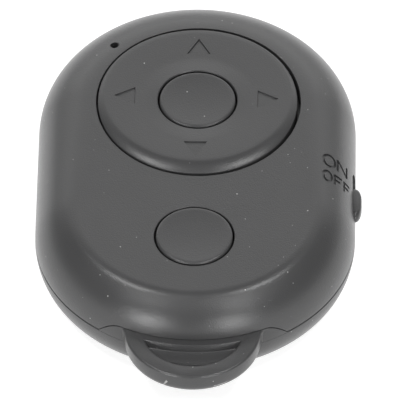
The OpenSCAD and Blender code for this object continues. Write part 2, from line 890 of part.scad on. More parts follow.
// Clear pin that brings the light up to the pinhole
module light_pipe() {
    color([0.85, 0.9, 0.95])
        key_frame()
            translate([pipe_x, pipe_y, -board_depth + led_h + touch])
                cylinder(d = pipe_d, h = board_depth - led_h - touch - pipe_sink, $fn = SMALL_FN);
}

module positive_contact() {
    y0 = cell_y - cell_d / 2 - contact_t;
    z0 = cell_z + cell_t / 6;
    z1 = z_on_plane(y0, board_depth + board_t) - touch / 2;
    color(gold)
        translate([-contact_w / 2, y0, z0])
            cube([contact_w, contact_t, z1 - z0]);
}

// Leaf spring from the board down to the middle of the cell
module negative_contact() {
    foot_y = cell_y - cell_d / 2 + contact_w / 2;
    bend_y = foot_y + contact_w;
    tip_y = cell_y + contact_w / 2;
    end_tip_y = tip_y + contact_w / 4;
    foot_z = z_on_plane(foot_y, board_depth + board_t) - contact_t - touch / 2;
    bend_z = z_on_plane(bend_y, board_depth + board_t) - contact_t - touch / 2;
    tip_z = cell_z + cell_t;
    color(gold)
        translate([-contact_w / 2, 0, 0])
            rotate([90, 0, 90])
                linear_extrude(height = contact_w)
                    polygon([[foot_y, foot_z], [bend_y, bend_z], [tip_y, tip_z], [end_tip_y, tip_z],
                        [end_tip_y, tip_z + contact_t], [tip_y, tip_z + contact_t],
                        [bend_y, bend_z + contact_t], [foot_y, foot_z + contact_t]]);
}

module coin_cell() {
    step = 0.3;
    color(steel)
        translate([0, cell_y, cell_z])
            rotate_extrude()
                polygon([[0, 0], [cell_d / 2 - step, 0], [cell_d / 2, step], [cell_d / 2, cell_t - 2 * step],
                    [cell_d / 2 - step, cell_t - step], [cell_d / 2 - 2 * step - step, cell_t - step],
                    [cell_d / 2 - 2 * step - step, cell_t], [0, cell_t]]);
}

module battery_door() {
    inner_r = bay_r - door_gap;
    color(case_grey)
        translate([0, cell_y, 0])
            difference() {
                union() {
                    cylinder(d = door_d, h = door_skin - lug_gap);
                    cylinder(r = inner_r, h = floor_t - lug_gap / 2);
                    for (i = [0:2])
                        rotate([0, 0, lug_start + 120 * i - lug_angle / 2])
                            translate([0, 0, door_skin + lug_gap])
                                rotate_extrude(angle = lug_angle)
                                    translate([inner_r - over, 0])
                                        square([lug_r - inner_r + over, lug_h]);
                }
                translate([-coin_slot_l / 2, -coin_slot_w / 2, -over])
                    cube([coin_slot_l, coin_slot_w, coin_slot_deep + over]);
            }
}

module case_screws() {
    color(steel)
        for (p = boss_places)
            translate([p[0], p[1], head_sink])
                difference() {
                    union() {
                        cylinder(d = head_d, h = head_h, $fn = SMALL_FN);
                        cylinder(d = screw_d, h = screw_tip_z - head_sink, $fn = SMALL_FN);
                    }
                    for (turn = [0, 90])
                        rotate([0, 0, turn])
                            translate([-head_d / 3, -head_d / 12, -over])
                                cube([2 * head_d / 3, head_d / 6, head_h / 2 + over]);
                }
}

module board_screws() {
    color(steel)
        key_frame()
            for (p = post_places)
                translate([p[0], p[1], -board_depth - board_t]) {
                    translate([0, 0, -board_head_h])
                        cylinder(d = board_head_d, h = board_head_h, $fn = SMALL_FN);
                    cylinder(d = board_screw_d, h = board_t + board_screw_l - 2 * over, $fn = SMALL_FN);
                }
}

top_shell();
bottom_shell();
direction_ring();
rocker_frame();
centre_button();
shutter_button();
circuit_board();
dome_up();
dome_down();
dome_left();
dome_right();
centre_switch();
centre_plunger();
shutter_switch();
shutter_plunger();
slide_switch();
slide_lever();
power_knob();
radio_chip();
crystal();
chip_capacitors();
status_led();
light_pipe();
positive_contact();
negative_contact();
coin_cell();
battery_door();
case_screws();
board_screws();
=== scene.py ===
import math

import bmesh
import bpy
from mathutils import Matrix, Vector


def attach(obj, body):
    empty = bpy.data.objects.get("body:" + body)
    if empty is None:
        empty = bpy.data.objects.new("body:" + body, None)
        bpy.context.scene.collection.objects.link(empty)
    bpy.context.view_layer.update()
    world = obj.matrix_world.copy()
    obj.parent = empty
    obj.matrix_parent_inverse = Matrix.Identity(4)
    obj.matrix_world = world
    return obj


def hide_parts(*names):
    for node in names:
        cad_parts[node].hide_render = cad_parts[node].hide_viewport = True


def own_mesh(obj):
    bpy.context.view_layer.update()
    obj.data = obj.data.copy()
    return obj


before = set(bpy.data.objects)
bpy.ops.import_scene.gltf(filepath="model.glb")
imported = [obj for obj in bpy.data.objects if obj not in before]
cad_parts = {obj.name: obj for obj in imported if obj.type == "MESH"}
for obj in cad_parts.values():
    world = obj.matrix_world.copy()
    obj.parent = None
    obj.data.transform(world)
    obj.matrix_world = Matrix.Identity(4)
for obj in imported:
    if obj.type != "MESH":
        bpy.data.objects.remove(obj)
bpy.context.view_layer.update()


# The camera
# A long lens looks down on the remote at 45 degrees from the loop end, almost square to
# its length. Its place and turn were fitted to the object's outline in the photograph.
PICTURE = 400
ORIGIN_PIXEL = (196.27, 219.48)
PIXELS_PER_MM = 8.352
SENSOR_W = 36
CAMERA_DISTANCE = 1.2
CAMERA_ELEVATION = math.radians(45)
CAMERA_YAW = math.radians(-0.913)
CAMERA_ROLL = math.radians(0.07)
MM = 0.001

across = Vector((math.cos(CAMERA_YAW), -math.sin(CAMERA_YAW), 0))
away = Vector((math.sin(CAMERA_YAW), math.cos(CAMERA_YAW), 0))
back = Vector((0, 0, 1)) * math.sin(CAMERA_ELEVATION) - away * math.cos(CAMERA_ELEVATION)
over_view = Vector((0, 0, 1)) * math.cos(CAMERA_ELEVATION) + away * math.sin(CAMERA_ELEVATION)
right = across * math.cos(CAMERA_ROLL) + over_view * math.sin(CAMERA_ROLL)
above = over_view * math.cos(CAMERA_ROLL) - across * math.sin(CAMERA_ROLL)

lens = bpy.data.cameras.new("camera")
lens.sensor_width = SENSOR_W
lens.lens = SENSOR_W * CAMERA_DISTANCE / (PICTURE / PIXELS_PER_MM * MM)
lens.shift_x = (PICTURE / 2 - ORIGIN_PIXEL[0]) / PICTURE
lens.shift_y = (ORIGIN_PIXEL[1] - PICTURE / 2) / PICTURE
camera = bpy.data.objects.new("camera", lens)
turn = Matrix((right, above, back)).transposed().to_4x4()
camera.matrix_world = Matrix.Translation(back * CAMERA_DISTANCE) @ turn
bpy.context.collection.objects.link(camera)
bpy.context.scene.camera = camera
bpy.context.scene.view_settings.view_transform = "Standard"


# The studio
# A sheet of white paper under six soft boxes: two low at the loop end, two dimmer ones above
# them and two high up at the sides. A wide pale glow stands behind the ring end.
class Value:
    """A socket of a node tree that Python's operators can reckon with."""

    def __init__(self, tree, socket=None):
        self.tree = tree
        self.socket = socket

    def node(self, kind, settings=None, inputs=None, out=0):
        """Adds a node: its settings first, then the values or links of its sockets."""
        made = self.tree.nodes.new(kind)
        for key, setting in (settings or {}).items():
            setattr(made, key, setting)
        for key, value in (inputs or {}).items():
            if isinstance(value, Value):
                self.tree.links.new(value.socket, made.inputs[key])
            else:
                made.inputs[key].default_value = value
        return Value(self.tree, made.outputs[out] if len(made.outputs) else None)

    def maths(self, operation, first, second):
        return self.node("ShaderNodeMath", {"operation": operation}, {0: first, 1: second})

    def __add__(self, other):
        return self.maths("ADD", self, other)

    def __radd__(self, other):
        return self.maths("ADD", other, self)

    def __sub__(self, other):
        return self.maths("SUBTRACT", self, other)

    def __rsub__(self, other):
        return self.maths("SUBTRACT", other, self)

    def __mul__(self, other):
        return self.maths("MULTIPLY", self, other)

    def __rmul__(self, other):
        return self.maths("MULTIPLY", other, self)

    def __truediv__(self, other):
        return self.maths("DIVIDE", self, other)

    def __gt__(self, other):
        return self.maths("GREATER_THAN", self, other)

    def output(self, name):
        """Another output of the node that this socket belongs to."""
        return Value(self.tree, self.socket.node.outputs[name])

    def noise(self, scale, detail):
        """Cloudy noise over the place that this vector gives."""
        return self.node("ShaderNodeTexNoise", {}, {"Vector": self, "Scale": scale, "Detail": detail})

    def smooth(self, low, high):
        """0 below low, 1 above high, with a soft step between."""
        return self.node("ShaderNodeMapRange", {"interpolation_type": "SMOOTHSTEP"},
                         {"Value": self, "From Min": low, "From Max": high})


def shader_tree(owner):
    """The emptied node tree of a material or a world, ready for its nodes."""
    owner.use_nodes = True
    owner.node_tree.nodes.clear()
    return Value(owner.node_tree)


WHITE = (1, 1, 1, 1)
SKY_LOW = 0.4
SKY_BACK = 1.75
SKY_HIGH = 0.2
SKY_FRONT = 0.5
AMBIENT = 0.1
BACK_SPILL = 1.2
LOW_BAND = (0.05, 0.3)
BACK_BAND = (0.48, 0.8)
FRONT_BAND = (0.15, 0.4)
FRONT_RISE = (0.5, 0.75)
world = bpy.data.worlds.new("studio")
bpy.context.scene.world = world
sky = shader_tree(world)
rays = sky.node("ShaderNodeLightPath")
seen = rays.output("Is Camera Ray")
through = rays.output("Is Transmission Ray")
mirrored = rays.output("Is Glossy Ray")
direction = sky.node("ShaderNodeTexCoord", out=0)
height = sky.node("ShaderNodeSeparateXYZ", inputs={0: direction}, out=2)
behind = sky.node("ShaderNodeSeparateXYZ", inputs={0: direction}, out=1)
low_sky = 1 - height.smooth(*LOW_BAND)
back_sky = behind.smooth(*BACK_BAND) * (1 - low_sky)
high_sky = 1 - low_sky - back_sky
front_sky = (0 - behind).smooth(*FRONT_BAND) * height.smooth(*FRONT_RISE)
reflected = SKY_LOW * low_sky + SKY_BACK * back_sky + SKY_HIGH * high_sky + SKY_FRONT * front_sky
diffuse = AMBIENT + BACK_SPILL * SKY_BACK * back_sky
strength = diffuse + mirrored * (reflected - diffuse)
strength = strength + (seen + through) * (1 - strength)
light = sky.node("ShaderNodeBackground", inputs={"Color": WHITE, "Strength": strength})
sky.node("ShaderNodeOutputWorld", inputs={"Surface": light})

PAPER_HALF = 0.6
PAPER_DROP = 0.05
PAPER_WHITE = (0.5, 0.5, 0.5, 1)
PAPER_LIFT = 0.8
PAPER_GLEAM = 0.9
paper_shape = bmesh.new()
bmesh.ops.create_grid(paper_shape, x_segments=1, y_segments=1, size=PAPER_HALF,
                      matrix=Matrix.Translation((0, 0, -PAPER_DROP * MM)))
paper_mesh = bpy.data.meshes.new("paper")
paper_shape.to_mesh(paper_mesh)
paper_shape.free()
paper = bpy.data.objects.new("paper", paper_mesh)
bpy.context.collection.objects.link(paper)
paper_look = bpy.data.materials.new("white_paper")
sheet = shader_tree(paper_look)
paper_rays = sheet.node("ShaderNodeLightPath")
paper_seen = paper_rays.output("Is Camera Ray")
paper_mirrored = paper_rays.output("Is Glossy Ray")
matte = sheet.node("ShaderNodeBsdfDiffuse", inputs={"Color": PAPER_WHITE})
lift = sheet.node("ShaderNodeEmission", inputs={
    "Color": WHITE, "Strength": paper_seen * PAPER_LIFT + paper_mirrored * PAPER_GLEAM})
paper_light = sheet.node("ShaderNodeAddShader", inputs={0: matte, 1: lift})
sheet.node("ShaderNodeOutputMaterial", inputs={"Surface": paper_light})
paper_mesh.materials.append(paper_look)


def soft_box(name, place, aim, size, power):
    """An oblong soft light that faces a point, given in metres."""
    lamp = bpy.data.lights.new(name, "AREA")
    lamp.shape = "RECTANGLE"
    lamp.size, lamp.size_y = size
    lamp.energy = power
    box = bpy.data.objects.new(name, lamp)
    box.location = place
    box.rotation_mode = "QUATERNION"
    box.rotation_quaternion = (Vector(aim) - Vector(place)).to_track_quat("-Z", "Y")
    bpy.context.collection.objects.link(box)


AIM = (0, 0, 0.006)
soft_box("front_left_box", (-0.325, -0.575, 0.12), AIM, (0.07, 0.21), 1.55)
soft_box("front_right_box", (0.28, -0.6, 0.12), AIM, (0.14, 0.24), 1.3)
soft_box("tall_left_box", (-0.29, -0.38, 0.49), AIM, (0.13, 0.22), 0.48)
soft_box("tall_right_box", (0.28, -0.41, 0.48), AIM, (0.13, 0.3), 0.78)
soft_box("upper_left_box", (-0.32, -0.06, 0.72), AIM, (0.13, 0.13), 1.7)
soft_box("upper_right_box", (0.32, -0.06, 0.72), AIM, (0.13, 0.13), 1.6)


# The case: two halves that meet at a seam
# The halves are moulded in dark grey ABS with a finely sparked skin. The outer form has
# round ends and a soft shoulder, and a plane that falls towards the loop end cuts its top off.
HALF_W = 19.0
STRAIGHT = 16.7
END_Y = STRAIGHT / 2
TOP_Z = 12.4
TOP_TILT = math.radians(1.9)
SEAM_Z = 5.2
WALL = 1.5
FLOOR = 1.3
SHOULDER_RUN = 11.0
SHOULDER_OVER = 1.0
APEX_Z = TOP_Z + SHOULDER_OVER
SHOULDER_POWER = 2.3
UNDER_RUN = 4.1
CREASE_BLEND = 0.4
END_STEPS = 72
STRAIGHT_STEPS = 14
MERGE = 0.0005
KEY_FRAME = Matrix.Translation((0, 0, TOP_Z)) @ Matrix.Rotation(TOP_TILT, 4, "X")


def quarter(steps):
    """Angles from 0 up to a quarter turn, to round an edge with."""
    return [math.radians(90 * i / steps) for i in range(steps + 1)]


def shoulder_points(steps, inset=0.0, lowest=0.0):
    """Half section of the shoulder from the seam up, as (radius, height), pushed inwards."""
    points = []
    rise = APEX_Z - SEAM_Z
    for i in range(steps + 1):
        a = math.radians(lowest + (90 - lowest) * i / steps)
        c, s = max(math.cos(a), 0.0), math.sin(a)
        share = 2 / SHOULDER_POWER
        normal = Vector((c ** (2 - share) / SHOULDER_RUN, s ** (2 - share) / rise)).normalized()
        points.append((HALF_W - SHOULDER_RUN * (1 - c ** share) - inset * normal.x,
                       SEAM_Z + rise * s ** share - inset * normal.y))
    return points


def underside_points(steps, inset=0.0):
    """Half section of the rounding under the case from the seam down."""
    points = []
    for a in quarter(steps):
        normal = Vector((math.cos(a) / UNDER_RUN, math.sin(a) / SEAM_Z)).normalized()
        points.append((HALF_W - UNDER_RUN * (1 - math.cos(a)) - inset * normal.x,
                       SEAM_Z * (1 - math.sin(a)) + inset * normal.y))
    return points


def round_ended(points, end_steps=END_STEPS, straight_steps=STRAIGHT_STEPS):
    """A round-ended solid spun and drawn from one half section."""
    bm = bmesh.new()
    verts = [bm.verts.new((r, END_Y, z)) for r, z in points]
    geom = [bm.edges.new(pair) for pair in zip(verts, verts[1:])] + verts
    stages = (((0, END_Y, 0), math.pi, 0), ((0, 0, 0), 0, -STRAIGHT),
              ((0, -END_Y, 0), math.pi, 0), ((0, 0, 0), 0, STRAIGHT))
    for centre, angle, run in stages:
        steps = end_steps if angle else straight_steps
        geom = bmesh.ops.spin(bm, geom=geom, cent=centre, axis=(0, 0, 1), dvec=(0, run / steps, 0),
                              angle=angle, steps=steps, use_merge=False)["geom_last"]
    bmesh.ops.remove_doubles(bm, verts=bm.verts, dist=MERGE)
    bmesh.ops.dissolve_degenerate(bm, edges=bm.edges, dist=MERGE)
    bmesh.ops.recalc_face_normals(bm, faces=bm.faces)
    return bm


def plane_z(y, depth=0.0):
    """Height of the sloping top face, or of a plane under it."""
    return TOP_Z + y * math.tan(TOP_TILT) - depth / math.cos(TOP_TILT)


def trim_top(bm, depth=0.0, blend=CREASE_BLEND):
    """Presses what stands over the sloping top face down to it, and rounds the crease a little."""
    for vert in bm.verts:
        lid = plane_z(vert.co.y, depth)
        overlap = max(blend - abs(vert.co.z - lid), 0) / blend
        vert.co.z = min(vert.co.z, lid) - overlap * overlap * blend / 4


SPECK_GREY = (0.55, 0.55, 0.54, 1)
SPECK_R = (0.03, 0.06)
GRAIN_DEEP = 0.05
SCRATCH_STRETCH = (60, 1500, 1500)
SCRATCH_TURN = (0.3, 0.2, 0.6)
NICK_FRAY = 0.06


def nick_mask(tree, place, medium, nick):
    """1 along a short straight nick, given by its ends and its width in millimetres."""
    start, end, wide = nick
    first, last = Vector(start) * MM, Vector(end) * MM
    along = (last - first).normalized()
    from_start = tree.node("ShaderNodeVectorMath", {"operation": "SUBTRACT"}, {0: place, 1: first})
    run = tree.node("ShaderNodeVectorMath", {"operation": "DOT_PRODUCT"},
                    {0: from_start, 1: along}, out=1)
    gone = tree.node("ShaderNodeVectorMath", {"operation": "SCALE"}, {0: along, "Scale": run})
    aside = tree.node("ShaderNodeVectorMath", {"operation": "DISTANCE"},
                      {0: from_start, 1: gone}, out=1)
    inside = (run > 0) * (1 - (run > (last - first).length))
    frayed = aside + NICK_FRAY * MM * medium
    return inside * (1 - frayed.smooth(wide * MM / 2, wide * MM))


def plastic(name, colour, rough, grain, dust, nicks=()):
    """Moulded dark plastic: sparked skin, faint clouds, scratches, nicks and specks of dust."""
    look = bpy.data.materials.new(name)
    tree = shader_tree(look)
    place = tree.node("ShaderNodeTexCoord", out=3)
    cloud = place.noise(160, 4)
    fine = place.noise(6500, 2)
    medium = place.noise(2600, 3)
    cells = tree.node("ShaderNodeTexVoronoi", {"feature": "F1"},
                      {"Vector": place, "Scale": 900, "Randomness": 1})
    speck_on = tree.node("ShaderNodeTexWhiteNoise", {"noise_dimensions": "3D"},
                         {"Vector": cells.output("Position")})
    size = tree.node("ShaderNodeTexWhiteNoise", {"noise_dimensions": "3D"},
                     {"Vector": cells.output("Color")})
    near = 1 - (cells / (SPECK_R[0] + SPECK_R[1] * size)).smooth(0.6, 1.0)
    speck = near * (speck_on > 1 - dust)
    stretch = tree.node("ShaderNodeMapping", {},
                        {"Vector": place, "Rotation": SCRATCH_TURN, "Scale": SCRATCH_STRETCH})
    lines = stretch.noise(1, 1)
    patches = place.noise(90, 1)
    scratch = lines.smooth(0.72, 0.76) * patches.smooth(0.56, 0.62)
    nicked = 0 * cloud
    for nick in nicks:
        nicked = nicked + nick_mask(tree, place, medium, nick)
    tone = 0.94 + 0.12 * cloud + 0.02 * medium + 0.35 * scratch
    base = tree.node("ShaderNodeVectorMath", {"operation": "SCALE"}, {0: colour[:3], "Scale": tone})
    shade = tree.node("ShaderNodeMix", {"data_type": "RGBA"},
                      {0: speck * 0.8 + nicked * 0.7, 6: base, 7: SPECK_GREY}, out=2)
    relief = fine * 0.8 + medium * 0.2 - scratch * 0.5
    bump = tree.node("ShaderNodeBump", {},
                     {"Strength": grain, "Distance": GRAIN_DEEP * MM, "Height": relief})
    coarse = rough + 0.08 * (cloud - 0.5) + 0.25 * speck
    skin = tree.node("ShaderNodeBsdfPrincipled", {},
                     {"Base Color": shade, "Roughness": coarse, "Normal": bump})
    tree.node("ShaderNodeOutputMaterial", {}, {"Surface": skin})
    return look


CASE_GREY = (0.051, 0.051, 0.052, 1)
CASE_ROUGH = 0.295
CASE_GRAIN = 0.62
CASE_DUST = 0.7
LOOP_NICKS = (((-3.38, -32.2, 4.75), (-2.9, -32.68, 5.9), 0.2),
              ((2.6, -32.77, 5.23), (4.16, -32.06, 5.2), 0.13))
case_look = plastic("sparked_case_plastic", CASE_GREY, CASE_ROUGH, CASE_GRAIN, CASE_DUST, LOOP_NICKS)


# The lower case half
# A shallow tray that carries the strap loop and the battery door. Its rim rises at the loop
# end into a raised part with ramps at both ends, and the loop is moulded in one with it.
LIP_TOP_X = 8.4
LIP_FOOT_X = 11.1
LIP_H = 0.8
LIP_DROP = 0.3
LIP_SEAT = 0.04
LIP_INSET = 0.35
RAMP_POWER = 1.9
RAMP_STEPS = 24
LOOP_R = 8.05
LOOP_OUT = 5.85
LOOP_T = 2.8
LOOP_UP = 1.9
LOOP_LOW_EDGE = 1.2
LOOP_HIGH_EDGE = 0.3
BAND_W = 1.95
SLOT_R = 5.9
SLOT_RIM = 0.6
SLOT_EDGE = 0.22
LEDGE_Z = 6.25
LEDGE_RUN = 2.2
LEDGE_LEAN = 0.35
LEDGE_EDGE = 0.1
BLEND_R = 2.0
SEAM_EDGE = 0.1
TONGUE_DROP = 0.4
LOOP_BITE = 0.12
RAISED_BITE = 0.08
TONGUE_BITE = 0.04
POWER_Y = -3.1
POWER_DEPTH = 5.75
KNOB_L = 4.85
KNOB_H = 1.7
POWER_TRAVEL = 2.0
KNOB_GAP = 0.1
POWER_SLOT_EXTRA = 0.5
POWER_SLOT_RAISE = 0.15
SKIN_STEP = 0.01
OVER = 1.0
FAR = 60.0
SHARP_ANGLE = math.radians(28)
loop_top = SEAM_Z + LOOP_UP
loop_low = loop_top - LOOP_T
loop_y = -END_Y - HALF_W - LOOP_OUT + LOOP_R
loop_span = -END_Y - loop_y
root_r = HALF_W - LIP_INSET + BLEND_R
blend_down = (loop_span ** 2 + root_r ** 2 - (LOOP_R + BLEND_R) ** 2) / (2 * loop_span)
blend_x = math.sqrt(root_r ** 2 - blend_down ** 2)
blend_y = -END_Y - blend_down


def arc(centre, radius, start, end, steps):
    """Points along an arc, from one angle to another in radians."""
    turned = [start + (end - start) * i / steps for i in range(steps + 1)]
    return [(centre[0] + radius * math.cos(a), centre[1] + radius * math.sin(a)) for a in turned]


def placed(bm, matrix):
    """The bmesh moved to its place."""
    bm.transform(matrix)
    return bm


def raise_faces(bm, faces, rise):
    """Draws flat faces straight up into a solid."""
    grown = bmesh.ops.extrude_face_region(bm, geom=faces)["geom"]
    top = [item for item in grown if isinstance(item, bmesh.types.BMVert)]
    bmesh.ops.translate(bm, vec=(0, 0, rise), verts=top)


def prism(outline, low, high):
    """An upright solid over a closed outline of (x, y)."""
    bm = bmesh.new()
    face = bm.faces.new([bm.verts.new((x, y, low)) for x, y in outline])
    raise_faces(bm, [face], high - low)
    bmesh.ops.recalc_face_normals(bm, faces=bm.faces)
    return bm


def stacked(levels):
    """A solid through closed outlines of (x, y), each with its height, from one end to the other."""
    bm = bmesh.new()
    loops = []
    for outline, z in levels:
        verts = [bm.verts.new((x, y, z)) for x, y in outline]
        loops.append([bm.edges.new(pair) for pair in zip(verts, verts[1:] + verts[:1])])
    for first, second in zip(loops, loops[1:]):
        bmesh.ops.bridge_loops(bm, edges=first + second)
    bmesh.ops.contextual_create(bm, geom=loops[0])
    bmesh.ops.contextual_create(bm, geom=loops[-1])
    bmesh.ops.recalc_face_normals(bm, faces=bm.faces)
    return bm


def spun(points, steps=96, angle=math.tau):
    """A solid turned about Z from a closed outline of (radius, height), whole or in part."""
    bm = bmesh.new()
    verts = [bm.verts.new((r, 0, z)) for r, z in points]
    geom = [bm.edges.new(pair) for pair in zip(verts, verts[1:] + verts[:1])] + verts
    whole = angle == math.tau
    result = bmesh.ops.spin(bm, geom=geom, cent=(0, 0, 0), axis=(0, 0, 1), angle=angle,
                            steps=steps, use_merge=whole)
    if not whole:
        for end in (geom, result["geom_last"]):
            edges = [item for item in end if isinstance(item, bmesh.types.BMEdge)]
            bmesh.ops.contextual_create(bm, geom=edges)
    bmesh.ops.remove_doubles(bm, verts=bm.verts, dist=MERGE)
    bmesh.ops.dissolve_degenerate(bm, edges=bm.edges, dist=MERGE)
    bmesh.ops.delete(bm, geom=[e for e in bm.edges if not e.link_faces], context="EDGES")
    bmesh.ops.recalc_face_normals(bm, faces=bm.faces)
    return bm


def scratch_object(bm):
    """A passing object for a bmesh, since only an object can take a modifier."""
    mesh = bpy.data.meshes.new("scratch")
    bm.to_mesh(mesh)
    obj = bpy.data.objects.new("scratch", mesh)
    bpy.context.collection.objects.link(obj)
    return obj


def combine(bm, tools, operation="DIFFERENCE"):
    """The bmesh with each tool cut out of it or joined to it. All of them are used up."""
    target = scratch_object(bm)
    others = [scratch_object(tool) for tool in tools]
    for other in others:
        modifier = target.modifiers.new("combine", "BOOLEAN")
        modifier.operation = operation
        modifier.object = other
        modifier.solver = "MANIFOLD"
    result = bmesh.new()
    result.from_mesh(target.evaluated_get(bpy.context.evaluated_depsgraph_get()).to_mesh())
    for obj in [target] + others:
        mesh = obj.data
        bpy.data.objects.remove(obj)
        bpy.data.meshes.remove(mesh)
    for old in [bm] + tools:
        old.free()
    return result


def lip_prism(grow):
    """The raised part of the lower half at the loop end, seen along Y and drawn along it."""
    ramp = [(LIP_FOOT_X + grow, -OVER)]
    for i in range(RAMP_STEPS + 1):
        t = i / RAMP_STEPS
        ramp.append((LIP_FOOT_X + (LIP_TOP_X - LIP_FOOT_X) * t + grow,
                     (LOOP_UP + grow) * (1 - (1 - t) ** RAMP_POWER)))
    outline = ramp + [(-x, z) for x, z in reversed(ramp)]
    upright = Matrix(((1, 0, 0, 0), (0, 0, -1, -END_Y), (0, 1, 0, SEAM_Z), (0, 0, 0, 1)))
    return placed(prism(outline, 0, FAR), upright)


def loop_outline(inset):
    """The loop seen from above: a blend out of the case, the round tip and a blend back."""
    start = math.atan2(blend_down, -blend_x)
    end = math.atan2(loop_y - blend_y, -blend_x)
    side = arc((blend_x, blend_y), BLEND_R + inset, start, end, 12)
    first = math.atan2(blend_y - loop_y, blend_x)
    tip = arc((0, loop_y), LOOP_R - inset, first, -math.pi - first, 60)[1:-1]
    return side + tip + [(-x, y) for x, y in reversed(side)]


def slot_outline(grow):
    """The D of the strap slot seen from above: a round near side and the curve of the case."""
    middle = -END_Y - HALF_W - LOOP_OUT + BAND_W + SLOT_R
    near_r, far_r = SLOT_R + grow, HALF_W + SLOT_RIM - grow
    gap = -END_Y - middle
    y = middle + (gap ** 2 + near_r ** 2 - far_r ** 2) / (2 * gap)
    x = math.sqrt(near_r ** 2 - (y - middle) ** 2)
    near_angle = math.atan2(y - middle, x)
    far_angle = math.atan2(y + END_Y, x)
    near = arc((0, middle), near_r, -math.pi - near_angle, near_angle, 48)
    return near + arc((0, -END_Y), far_r, far_angle, -math.pi - far_angle, 24)[1:-1]


def rounded_levels(outline_at, low_edge, high_edge, low_steps, high_steps):
    """Levels of an outline up the height of the loop, with its lower and upper edges rounded."""
    levels = []
    for a in quarter(low_steps):
        levels.append((outline_at(low_edge * (1 - math.sin(a))),
                       loop_low + low_edge * (1 - math.cos(a))))
    for a in quarter(high_steps):
        levels.append((outline_at(high_edge * (1 - math.cos(a))),
                       loop_top - high_edge * (1 - math.sin(a))))
    return levels


def slot_cutter():
    """The slot, flared at both mouths, with the ledge at the foot of its far wall."""
    mouth = slot_outline(2 * SLOT_EDGE)
    levels = ([(mouth, loop_low - OVER)] + rounded_levels(slot_outline, SLOT_EDGE, SLOT_EDGE, 6, 6)
              + [(mouth, loop_top + SLOT_EDGE)])
    wall = HALF_W + SLOT_RIM
    edge = wall + LEDGE_RUN
    ledge = spun([(wall - 2 * OVER, loop_top), (wall, loop_top),
                  (wall + LEDGE_LEAN, LEDGE_Z + 0.6 * LEDGE_EDGE),
                  (wall + LEDGE_LEAN + LEDGE_EDGE, LEDGE_Z),
                  (edge - 2 * LEDGE_EDGE, LEDGE_Z - LEDGE_EDGE),
                  (edge, LEDGE_Z - 3 * LEDGE_EDGE), (edge, 0), (wall - 2 * OVER, 0)], 160)
    return combine(stacked(levels), [placed(ledge, Matrix.Translation((0, -END_Y, 0)))])


OUTWARDS = Matrix(((0, 0, 1, 0), (1, 0, 0, 0), (0, 1, 0, 0), (0, 0, 0, 1)))


def capsule(length, height, steps=16):
    """The outline of a bar with round ends."""
    half = (length - height) / 2
    return (arc((half, 0), height / 2, -math.pi / 2, math.pi / 2, steps)
            + arc((-half, 0), height / 2, math.pi / 2, 3 * math.pi / 2, steps))


def power_slot():
    """The knob's slot through the side wall, as long as the knob and its travel."""
    outline = capsule(KNOB_L + POWER_TRAVEL + 2 * KNOB_GAP, KNOB_H + POWER_SLOT_EXTRA)
    solid = placed(prism(outline, HALF_W - WALL - OVER, HALF_W + OVER), OUTWARDS)
    return placed(solid, KEY_FRAME @ Matrix.Translation((0, POWER_Y, POWER_SLOT_RAISE - POWER_DEPTH)))


def core(bite):
    """The room inside the walls, cut from what is joined to them so that it only bites in."""
    inner = HALF_W - WALL + bite
    return round_ended([(0, 0), (inner, 0), (inner, FAR), (0, FAR)])


def finish_piece(name, bm, look, body, nodes):
    """Turns a bmesh in millimetres into a piece in metres that rides on a body."""
    bmesh.ops.transform(bm, matrix=Matrix.Scale(MM, 4), verts=bm.verts)
    mesh = bpy.data.meshes.new(name)
    bm.to_mesh(mesh)
    bm.free()
    mesh.shade_smooth()
    mesh.set_sharp_from_angle(angle=SHARP_ANGLE)
    mesh.materials.append(look)
    piece = bpy.data.objects.new(name, mesh)
    bpy.context.collection.objects.link(piece)
    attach(piece, body)
    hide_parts(*nodes)
    return piece


loop = stacked(rounded_levels(loop_outline, LOOP_LOW_EDGE, LOOP_HIGH_EDGE, 8, 4))
loop = combine(loop, [core(LOOP_BITE)])

lower = round_ended([(0, 0)] + underside_points(28)[::-1][:-1]
                    + [(HALF_W, SEAM_Z - SEAM_EDGE), (HALF_W - SEAM_EDGE, SEAM_Z), (0, SEAM_Z)])
hollow = round_ended([(0, FLOOR)] + [p for p in underside_points(16, WALL)[::-1] if p[1] > FLOOR]
                     + [(HALF_W - WALL, SEAM_Z + OVER), (0, SEAM_Z + OVER)])
lower = combine(lower, [hollow])
tongue_r, tongue_low = HALF_W - WALL / 2, SEAM_Z - TONGUE_DROP
tongue = round_ended([(0, tongue_low), (tongue_r, tongue_low), (tongue_r, SEAM_Z + LIP_H),
                      (0, SEAM_Z + LIP_H)])
tongue = combine(tongue, [core(TONGUE_BITE)])
lip_r = HALF_W - LIP_INSET
raised = round_ended([(0, SEAM_Z - LIP_DROP), (lip_r, SEAM_Z - LIP_DROP), (lip_r, SEAM_Z - LIP_SEAT),
                      (HALF_W - SKIN_STEP, SEAM_Z - LIP_SEAT)] + shoulder_points(60)[1:] + [(0, APEX_Z)])
trim_top(raised)
raised = combine(raised, [lip_prism(0)], "INTERSECT")
raised = combine(raised, [core(RAISED_BITE)])
lower = combine(lower, [tongue, raised, loop], "UNION")

